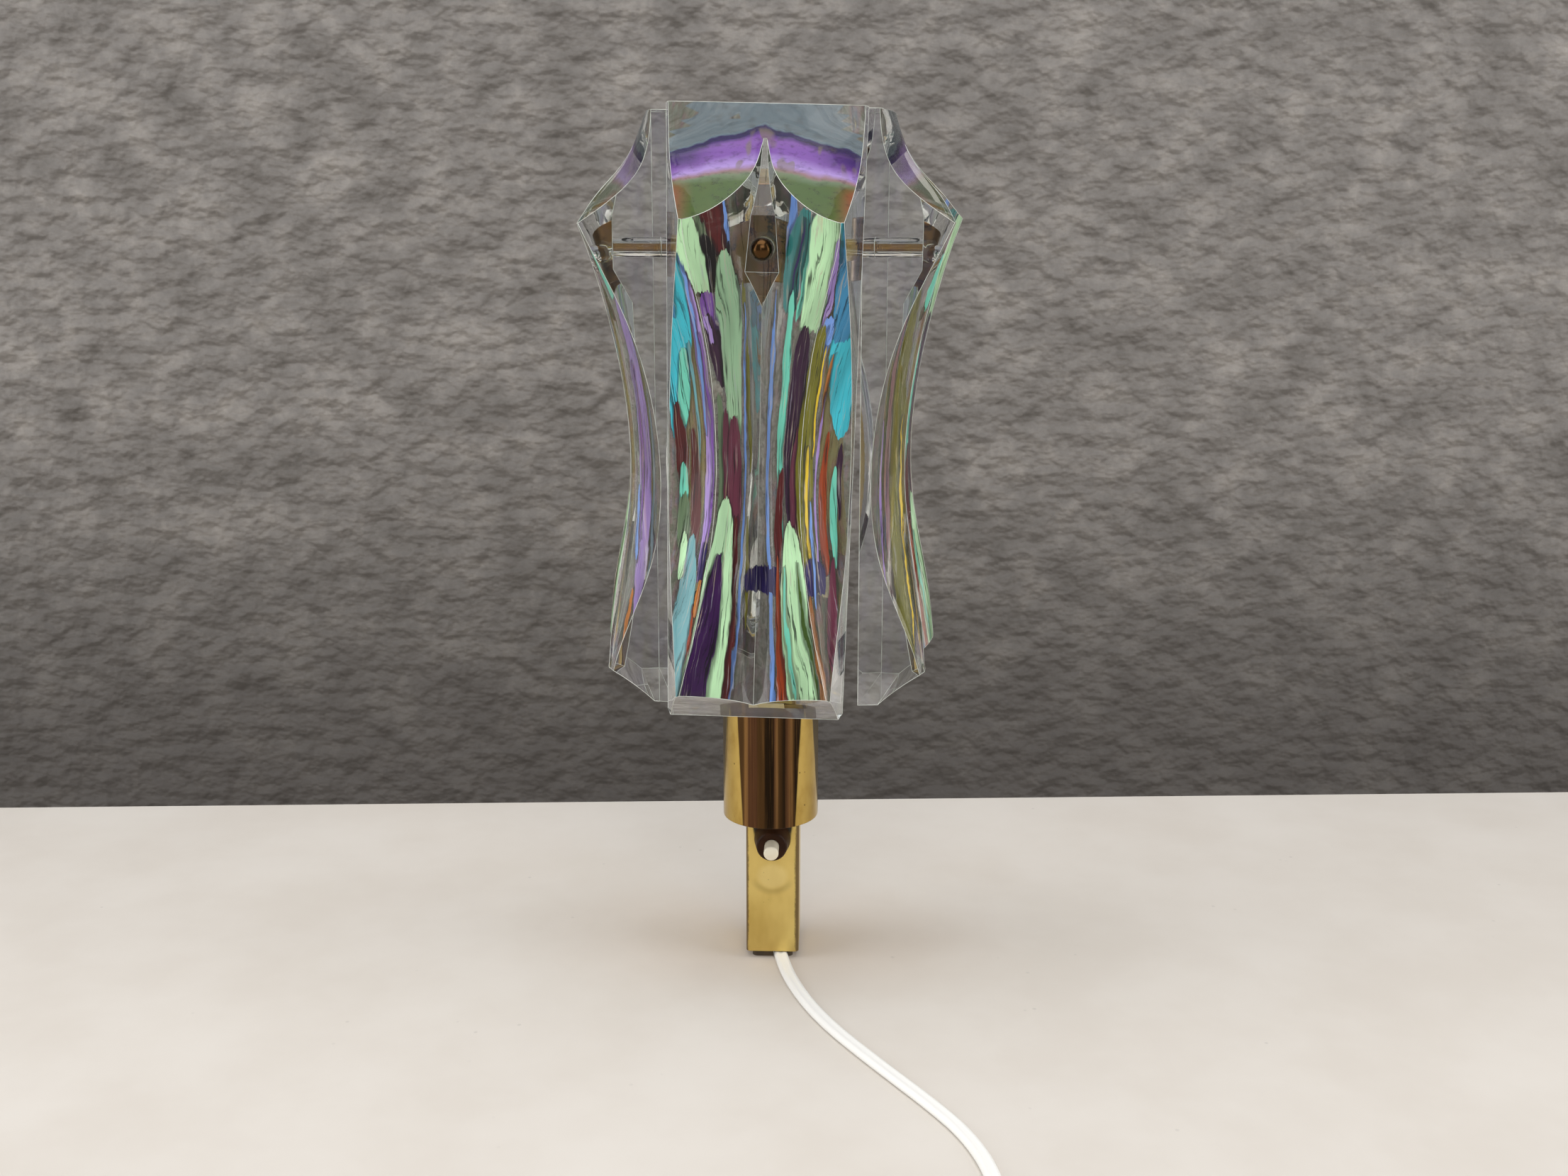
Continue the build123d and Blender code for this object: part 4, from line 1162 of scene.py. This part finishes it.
    def entry(self, finish: bpy.types.Material) -> None:
        """The hidden stretch: down inside the channel, a close bend, and out under the foot.

        Args:
            finish: The sheath's material.
        """
        (x0, y0), (x1, y1) = self.route[:2]
        lean = (x1 - x0) / (y1 - y0)
        inner_x = x0 + (self.entry_y - y0) * lean
        points = [(inner_x, self.entry_y, z) for z in (-110.0, -132.0, self.level)]
        points += [(x0 + (-13.0 - y0) * lean, -13.0, self.level), (x0, y0, self.level)]
        line = smooth_line("entry_line", [(a * MM, b * MM, c * MM) for a, b, c in points], 8)
        mesh = tube_mesh("cord_entry_sheath", line, self.outline(), -Vector((1.0, -lean, 0)).normalized())
        piece = make_piece("cord_entry_sheath", mesh, finish, LAMP)
        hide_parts("cord_entry")


# ---------------------------------------------------------------- crystals
def dress(node: str, material: bpy.types.Material) -> None:
    """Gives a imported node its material.

    Args:
        node: The node's name.
        material: The material.
    """
    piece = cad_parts[node]
    piece.data.materials.clear()
    piece.data.materials.append(material)
    LOG.info("dressed %s in %s", node, material.name)


@dataclass
class CrystalPanel:
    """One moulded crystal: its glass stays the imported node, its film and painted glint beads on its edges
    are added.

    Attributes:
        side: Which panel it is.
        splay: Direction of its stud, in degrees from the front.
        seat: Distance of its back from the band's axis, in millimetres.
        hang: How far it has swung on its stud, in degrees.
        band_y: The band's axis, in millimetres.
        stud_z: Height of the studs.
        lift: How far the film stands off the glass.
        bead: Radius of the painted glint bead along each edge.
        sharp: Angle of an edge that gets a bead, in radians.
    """

    side: str
    splay: float
    seat: float
    hang: float
    band_y: float = -59.0
    stud_z: float = 131.9
    lift: float = 0.05
    bead: float = 0.085
    sharp: float = 0.38

    @property
    def node(self) -> str:
        """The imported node's name, which is the body's name too."""
        return "crystal_" + self.side

    @property
    def turn(self) -> float:
        """Direction of its stud, in radians."""
        return math.radians(self.splay)

    @property
    def out(self) -> Vector:
        """The stud's direction."""
        return Vector((math.sin(self.turn), -math.cos(self.turn), 0))

    @property
    def base(self) -> Vector:
        """The band's axis at the studs' height."""
        return Vector((0, self.band_y, self.stud_z))

    def place(self) -> Matrix:
        """The panel's own frame: X across its back, Y outwards, Z up, origin at its hole."""
        return (
            Matrix.Translation((self.out * self.seat + self.base) * MM)
            @ Matrix.Rotation(self.turn, 4, "Z")
            @ Matrix.Rotation(math.radians(self.hang), 4, "Y")
            @ Matrix.Rotation(math.pi, 4, "Z")
        )

    def solid(self) -> bmesh.types.BMesh:
        """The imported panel's mesh, joined up, in the panel's own frame."""
        shape = bmesh.new()
        shape.from_mesh(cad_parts[self.node].data)
        bmesh.ops.remove_doubles(shape, verts=shape.verts, dist=1e-6)
        shape.transform(self.place().inverted())
        shape.normal_update()
        return shape

    @staticmethod
    def zone(face: bmesh.types.BMFace) -> Optional[Zone]:
        """The film's zone on a face, or None where there is no film."""
        normal, middle = face.normal, face.calc_center_median() / MM
        if normal.y < -0.5 or middle.xz.length < 4.2:
            return None
        least = 0.34 if abs(middle.x) < 9.2 else 0.2
        if normal.z > least and middle.z > 2 and abs(normal.x) < 0.6:
            return Zone.BEVEL if middle.y < 33.9 and middle.z < 43.2 else Zone.PLAIN
        if abs(normal.x) > 0.93 and abs(middle.x) > 12 or (normal.z < -0.5 and middle.z < -130):
            return Zone.PLAIN
        return Zone.FLUTE

    def build(self, glass: bpy.types.Material, film: Film, edge: bpy.types.Material) -> None:
        """Dresses the panel.

        Args:
            glass: Material of the solid glass.
            film: The film on it.
            edge: Material of the painted glint beads on the edges.
        """
        dress(self.node, glass)
        shape = self.solid()
        self.edges(shape, edge)
        for face in list(shape.faces):
            zone = self.zone(face)
            if zone is None:
                shape.faces.remove(face)
            else:
                face.material_index = zone.value
                face.smooth = True
        for vertex in [v for v in shape.verts if not v.link_faces]:
            shape.verts.remove(vertex)
        shape.normal_update()
        for vertex in shape.verts:
            vertex.co += vertex.normal * self.lift * MM
        mesh = bpy.data.meshes.new("film_" + self.side)
        shape.to_mesh(mesh)
        shape.free()
        mesh.set_sharp_from_angle(angle=math.radians(20))
        for material in film.build():
            mesh.materials.append(material)
        make_piece("film_" + self.side, mesh, None, self.node, self.place())

    def edges(self, shape: bmesh.types.BMesh, finish: bpy.types.Material) -> None:
        """Adds a fine, pale rounded bead along each sharp edge: a painted glint where the glass edge catches
        the light.

        Args:
            shape: The joined-up panel.
            finish: The beads' material.
        """
        sharp = {e for e in shape.edges if len(e.link_faces) == 2 and e.calc_face_angle(0) > self.sharp}
        curve = bpy.data.curves.new("edge_" + self.side, "CURVE")
        curve.dimensions = "3D"
        curve.bevel_depth = self.bead * MM
        curve.bevel_resolution = 1
        while sharp:
            edge = sharp.pop()
            chain = list(edge.verts)
            for end in (1, 0):
                while True:
                    tip = chain[-1] if end else chain[0]
                    near = [e for e in tip.link_edges if e in sharp]
                    if len(near) != 1:
                        break
                    sharp.discard(near[0])
                    chain.insert(len(chain) if end else 0, near[0].other_vert(tip))
            spline = curve.splines.new("POLY")
            spline.points.add(len(chain) - 1)
            for point, vertex in zip(spline.points, chain):
                point.co = (*vertex.co, 1.0)
        make_piece("edge_" + self.side, curve, finish, self.node, self.place())


@dataclass
class ThreadedStuds:
    """The three studs with their threads, which show through the glass.

    Attributes:
        radius: Outer radius of the thread, in millimetres.
        depth: Depth of the thread.
        pitch: Distance from one turn to the next.
        start: Where each stud starts, from the band's axis.
        beyond: How far each reaches beyond the panel's back.
        around: Points of each ring.
        rings: Rings of each turn of the thread.
    """

    radius: float = 2.0
    depth: float = 0.32
    pitch: float = 0.8
    start: float = 25.0
    beyond: float = 20.7
    around: int = 20
    rings: int = 6

    def build(self, panels: Sequence[CrystalPanel], finish: bpy.types.Material) -> None:
        """Builds the studs where the panels hang.

        Args:
            panels: The three panels.
            finish: The studs' material.
        """
        points: list[Vector] = []
        faces: list[tuple] = []
        for panel in panels:
            self.stud(panel, points, faces)
        mesh = new_mesh("threaded_studs", points, faces)
        mesh.shade_smooth()
        piece = make_piece("threaded_studs", mesh, finish, LAMP)
        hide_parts("studs")

    def stud(self, panel: CrystalPanel, points: list[Vector], faces: list[tuple]) -> None:
        """Adds one stud.

        Args:
            panel: The panel that hangs on it.
            points: Gets its points.
            faces: Gets its faces.
        """
        level = Vector((math.cos(panel.turn), math.sin(panel.turn), 0))
        length = panel.seat + self.beyond - self.start
        rows = int(length / self.pitch * self.rings)
        first = len(points)
        for row in range(rows + 1):
            along = length * row / rows
            for k in range(self.around):
                angle = 2 * math.pi * k / self.around
                phase = (along / self.pitch - k / self.around) % 1.0
                radius = self.radius - self.depth * abs(2 * phase - 1)
                ring = level * math.cos(angle) + UP * math.sin(angle)
                points.append((panel.base + panel.out * (self.start + along) + ring * radius) * MM)
        for row in range(rows):
            for k in range(self.around):
                a, b = first + row * self.around + k, first + row * self.around + (k + 1) % self.around
                faces.append((a, b, b + self.around, a + self.around))
        faces.append(tuple(range(first + self.around - 1, first - 1, -1)))
        last = first + rows * self.around
        faces.append(tuple(range(last, last + self.around)))


@dataclass
class TubeLabel:
    """A blank paper label stuck round the front of the lampholder tube.

    Attributes:
        radius: Radius of the label, in millimetres.
        paper: Its thickness.
        axis_y: The tube's axis.
        low: Height of its lower edge.
        high: Height of its upper edge.
        half_turn: Half the angle it covers, in degrees.
        columns: Faces across it.
    """

    radius: float = 17.76
    paper: float = 0.05
    axis_y: float = -45.2
    low: float = 2.8
    high: float = 11.6
    half_turn: float = 21.0
    columns: int = 24

    def build(self, finish: bpy.types.Material) -> None:
        """Builds the label as a thin curved sheet with thickness.

        Args:
            finish: The paper's material.
        """
        points, faces = [], []
        columns, row = self.columns, self.columns + 1
        for radius in (self.radius, self.radius - self.paper):
            for z in (self.low, self.high):
                for column in range(row):
                    angle = math.radians(self.half_turn * (2 * column / columns - 1))
                    point = Vector((radius * math.sin(angle), self.axis_y - radius * math.cos(angle), z))
                    points.append(point * MM)
        for c in range(columns):
            faces.append((c, c + 1, row + c + 1, row + c))
            faces.append((2 * row + c + 1, 2 * row + c, 3 * row + c, 3 * row + c + 1))
            faces.append((c + 1, c, 2 * row + c, 2 * row + c + 1))
            faces.append((row + c, row + c + 1, 3 * row + c + 1, 3 * row + c))
        faces.append((0, row, 3 * row, 2 * row))
        faces.append((columns + row, columns, 2 * row + columns, 3 * row + columns))
        make_piece("tube_label", new_mesh("tube_label", points, faces), finish, LAMP)


# ---------------------------------------------------------------- stage, lights, camera
@dataclass
class Stage:
    """Pale table, grey wall behind it, soft lights and the camera.

    Attributes:
        table_z: Height of the table, in metres.
        table_half: Half the table's width.
        wall_start: A point of the line where wall and table meet.
        wall_turn: The wall's turn from the X axis, in degrees.
        wall_half: Half the wall's width and height.
        lamps: Name, place, target, width, height and power of each light.
        room: Colour of the dim room.
        lens: The camera's focal length, in millimetres of a 36 mm frame.
        stand: The camera's place.
        aim: Its turn about each axis, in degrees.
    """

    table_z: float = -0.147
    table_half: float = 3.0
    wall_start: tuple[float, float] = (0.0, 0.150)
    wall_turn: float = 3.8
    wall_half: float = 1.5
    lamps: tuple = (
        ("light_above", (-0.1, -0.35, 1.35), (0, 0, 0), 1.5, 1.2, 16.0),
        ("light_left", (-1.15, -0.35, 0.35), (0, -0.05, 0.03), 0.7, 1.4, 9.0),
        ("light_right", (1.15, -0.30, 0.35), (0, -0.05, 0.03), 0.7, 1.4, 8.0),
        ("light_front", (0.25, -1.7, 1.0), (0, -0.05, 0.0), 1.2, 0.8, 10.0),
        ("light_back", (-0.3, 1.6, 0.9), (0, 0.0, 0.0), 1.2, 0.8, 8.0),
    )
    room: Colour = (0.30, 0.30, 0.31, 1.0)
    lens: float = 36.75
    stand: tuple[float, float, float] = (0.02213, -0.61327, 0.14339)
    aim: tuple[float, float, float] = (76.722, -0.162, 1.786)

    def build(self) -> None:
        """Builds everything round the object."""
        self.table()
        self.wall()
        self.lights()
        self.camera()

    def table(self) -> None:
        """The pale table, with a painted warm reflection of the brass round the channel's foot."""
        material, bench, shader, _ = new_material("table_white")
        vector, _, _, _ = bench.place()
        cloud = bench.step(bench.noise(vector, 0.012, 4.0, 0.6), 0.3, 0.7)
        colour = bench.blend(cloud, srgb(216, 210, 202), srgb(210, 203, 194))
        # Painted reflection: a warm glow of light from the brass, painted on the table round the channel's
        # foot.
        near = bench.stretch(vector, (1 / 120, 1 / 70, 0), (0.0, 0.1, 0.0))
        away = bench.add("VectorMath", {0: near}, out="Value", operation="LENGTH")
        colour = bench.blend(bench.step(away, 1.0, 0.1, 0.0, 0.22), colour, srgb(190, 162, 136))
        colour = bench.blend(bench.specks(vector, 0.09, 0.09) * 0.25, colour, srgb(150, 146, 142))
        bench.wire(shader, {"Base Color": colour, "Roughness": 0.62})
        self.flat("table", material, self.table_half, Matrix.Translation((0, 0, self.table_z)))

    def wall(self) -> None:
        """The mottled grey wall, with painted shade along its foot; it can't be seen from behind."""
        material, bench, shader, sink = new_material("wall_grey")
        vector, _, y, _ = bench.place()
        broad = bench.noise(vector, 0.035, 5.0, 0.62)
        fine = bench.noise(vector, 0.16, 4.0, 0.6)
        greys = ((0.3, srgb(88, 84, 80)), (0.5, srgb(114, 110, 106)), (0.7, srgb(142, 137, 131)))
        colour = bench.ramp(broad * 0.75 + fine * 0.25, greys)
        # Painted shade: the wall darkens towards its foot at the table.
        low = bench.step(y, -1270.0, -1495.0, 0.0, 0.8)
        colour = bench.blend(low, colour, srgb(58, 54, 51))
        relief = bench.noise(bench.stretch(vector, (1.0, 1.4, 1.0)), 0.085, 2.5, 0.42)
        bump = bench.add("Bump", {"Strength": 1.0, "Distance": 0.007, "Height": relief})
        bench.wire(shader, {"Base Color": colour, "Roughness": 0.9, "Normal": bump})
        behind = bench.add("NewGeometry", out="Backfacing")
        bench.add_output(sink, behind, Term(bench, shader.outputs[0]), bench.add("BsdfTransparent"))
        turn = Matrix.Rotation(math.radians(self.wall_turn), 4, "Z")
        stand = Matrix.Rotation(math.radians(90), 4, "X")
        foot = Matrix.Translation((*self.wall_start, self.table_z + self.wall_half))
        self.flat("wall", material, self.wall_half, foot @ turn @ stand)

    @staticmethod
    def flat(name: str, material: bpy.types.Material, half: float, place: Matrix) -> None:
        """Adds a square sheet to the stage.

        Args:
            name: Its name.
            material: Its material.
            half: Half its side, in metres.
            place: Where it is.
        """
        corners = [(-half, -half, 0), (half, -half, 0), (half, half, 0), (-half, half, 0)]
        mesh = new_mesh(name, corners, [(0, 1, 2, 3)])
        mesh.materials.append(material)
        sheet = bpy.data.objects.new(name, mesh)
        sheet.matrix_world = place
        bpy.context.scene.collection.objects.link(sheet)
        sheet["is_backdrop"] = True

    def lights(self) -> None:
        """Soft lights from above, both sides, the front and the back, and a dim room."""
        for name, place, target, wide, high, power in self.lamps:
            data = bpy.data.lights.new(name, "AREA")
            data.shape = "RECTANGLE"
            data.size, data.size_y, data.energy = wide, high, power
            lamp = bpy.data.objects.new(name, data)
            lamp.location = place
            lamp.visible_transmission = False
            lamp.rotation_euler = (Vector(target) - Vector(place)).to_track_quat("-Z", "Y").to_euler()
            bpy.context.scene.collection.objects.link(lamp)
        world = bpy.data.worlds.new("room")
        world.use_nodes = True
        world.node_tree.nodes["Background"].inputs[0].default_value = self.room
        bpy.context.scene.world = world

    def camera(self) -> None:
        """The camera where the photograph was taken from."""
        data = bpy.data.cameras.new("camera")
        data.lens, data.sensor_width = self.lens, 36.0
        camera = bpy.data.objects.new("camera", data)
        camera.location = self.stand
        camera.rotation_euler = Euler([math.radians(a) for a in self.aim], "XYZ")
        bpy.context.scene.collection.objects.link(camera)
        bpy.context.scene.camera = camera
        bpy.context.scene.view_settings.view_transform = "Standard"


# ---------------------------------------------------------------- assembly
def dress_nodes() -> None:
    """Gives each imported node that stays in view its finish."""
    brass = Metal("satin_brass", Tint.GOLD, Tint.LACQUER_BROWN, 0.3, 0.14, -0.06, (1, 1, 0.2))
    band = Metal("band_brass", srgb(126, 92, 48), Tint.TARNISH_AND_SHADE, 0.3, 0.12, 0.02, (0.3, 0.3, 1))
    dark = Metal("dark_brass", srgb(74, 52, 30), Tint.TARNISH_AND_SHADE, 0.2, 0.12, 0.02)
    steel = Metal("zinc_steel", srgb(190, 190, 186), srgb(120, 116, 108), 0.42, 0.16, -0.04)
    nickel = Metal("nickel", srgb(214, 210, 202), srgb(150, 140, 122), 0.16, 0.08, -0.1)
    foot = Moulded("dark_plastic", srgb(62, 50, 34), srgb(84, 68, 42), 0.55, 0.0, 0.2)
    collar = Moulded("collar_brown", srgb(44, 25, 14), srgb(58, 34, 19), 0.42, 0.0, 0.04, 0.1)
    ivory = Moulded("ivory_plastic", srgb(236, 228, 206), srgb(222, 208, 178), 0.3, 0.4, 0.03)
    porcelain = Moulded("porcelain", srgb(232, 230, 222), srgb(216, 212, 200), 0.18, 0.8, 0.03)
    sheath = Moulded("cord_pvc", srgb(240, 236, 230), srgb(228, 223, 214), 0.42, 0.15, 0.05)
    washer = ClearGlass("washer_plastic", srgb(240, 240, 228), 1.45, 0.12)
    finishes = {
        brass: ("band_saddle", "stud_spacers", "tube_saddle", "holder_nipple"),
        band: ("crystal_band",),
        dark: ("ball_nuts",),
        steel: (
            "wall_strip", "channel_screws", "band_screw", "band_nut", "stud_inner_nuts", "holder_bracket",
            "tube_screws", "tube_nuts", "nipple_nut", "terminal_screws", "clamp_screws",
        ),
        nickel: ("lamp_shell", "lamp_contact", "plug_pins"),
        foot: ("channel_foot", "switch_body", "cord_clamp"),
        collar: ("switch_collar",),
        ivory: ("switch_button",),
        porcelain: ("lampholder", "terminal_block"),
        sheath: ("cord_plug",),
        washer: ("glass_washers",),
        ChannelBrass(): ("channel",),
        TubeBrass(): ("lamp_tube",),
    }
    for finish, nodes in finishes.items():
        material = finish.build()
        for node in nodes:
            dress(node, material)


def main() -> None:
    """Builds the scene and reports each piece."""
    logging.basicConfig(level=logging.INFO, format="%(name)s: %(message)s")
    make_effects()
    Stage().build()
    dress_nodes()
    FlatCord().build(bpy.data.materials["cord_pvc"])
    glass = ClearGlass("crystal_glass", (0.93, 0.96, 0.94, 1.0), 1.52).build()
    # Pale, glossy beads: painted glints on the crystals' edges.
    edge = Moulded("crystal_edge_glint", srgb(222, 226, 218), srgb(150, 156, 142), 0.1, 1.0, 0.0).build()
    crystals = (
        (CrystalPanel("front", 0.0, 39.5, 1.2), Film("film_front", FRONT_STREAKS)),
        (CrystalPanel("left", -83.0, 34.8, 2.5), Film("film_left", LEFT_STREAKS, -1.0, 0.06, 0.75, 0.4)),
        (CrystalPanel("right", 83.0, 34.8, -1.5), Film("film_right", RIGHT_STREAKS, 1.0, -0.05, 0.75, 0.4)),
    )
    for panel, film in crystals:
        panel.build(glass, film, edge)
    thread = Metal("stud_brass", srgb(176, 136, 74), Tint.TARNISH_AND_SHADE, 0.25, 0.1, 0.0).build()
    ThreadedStuds().build([panel for panel, _ in crystals], thread)
    TubeLabel().build(Moulded("label_paper", srgb(214, 198, 158), srgb(196, 178, 138), 0.6).build())
    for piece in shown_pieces():
        LOG.info("piece %s", piece.name)


if __name__ == "__main__":
    main()
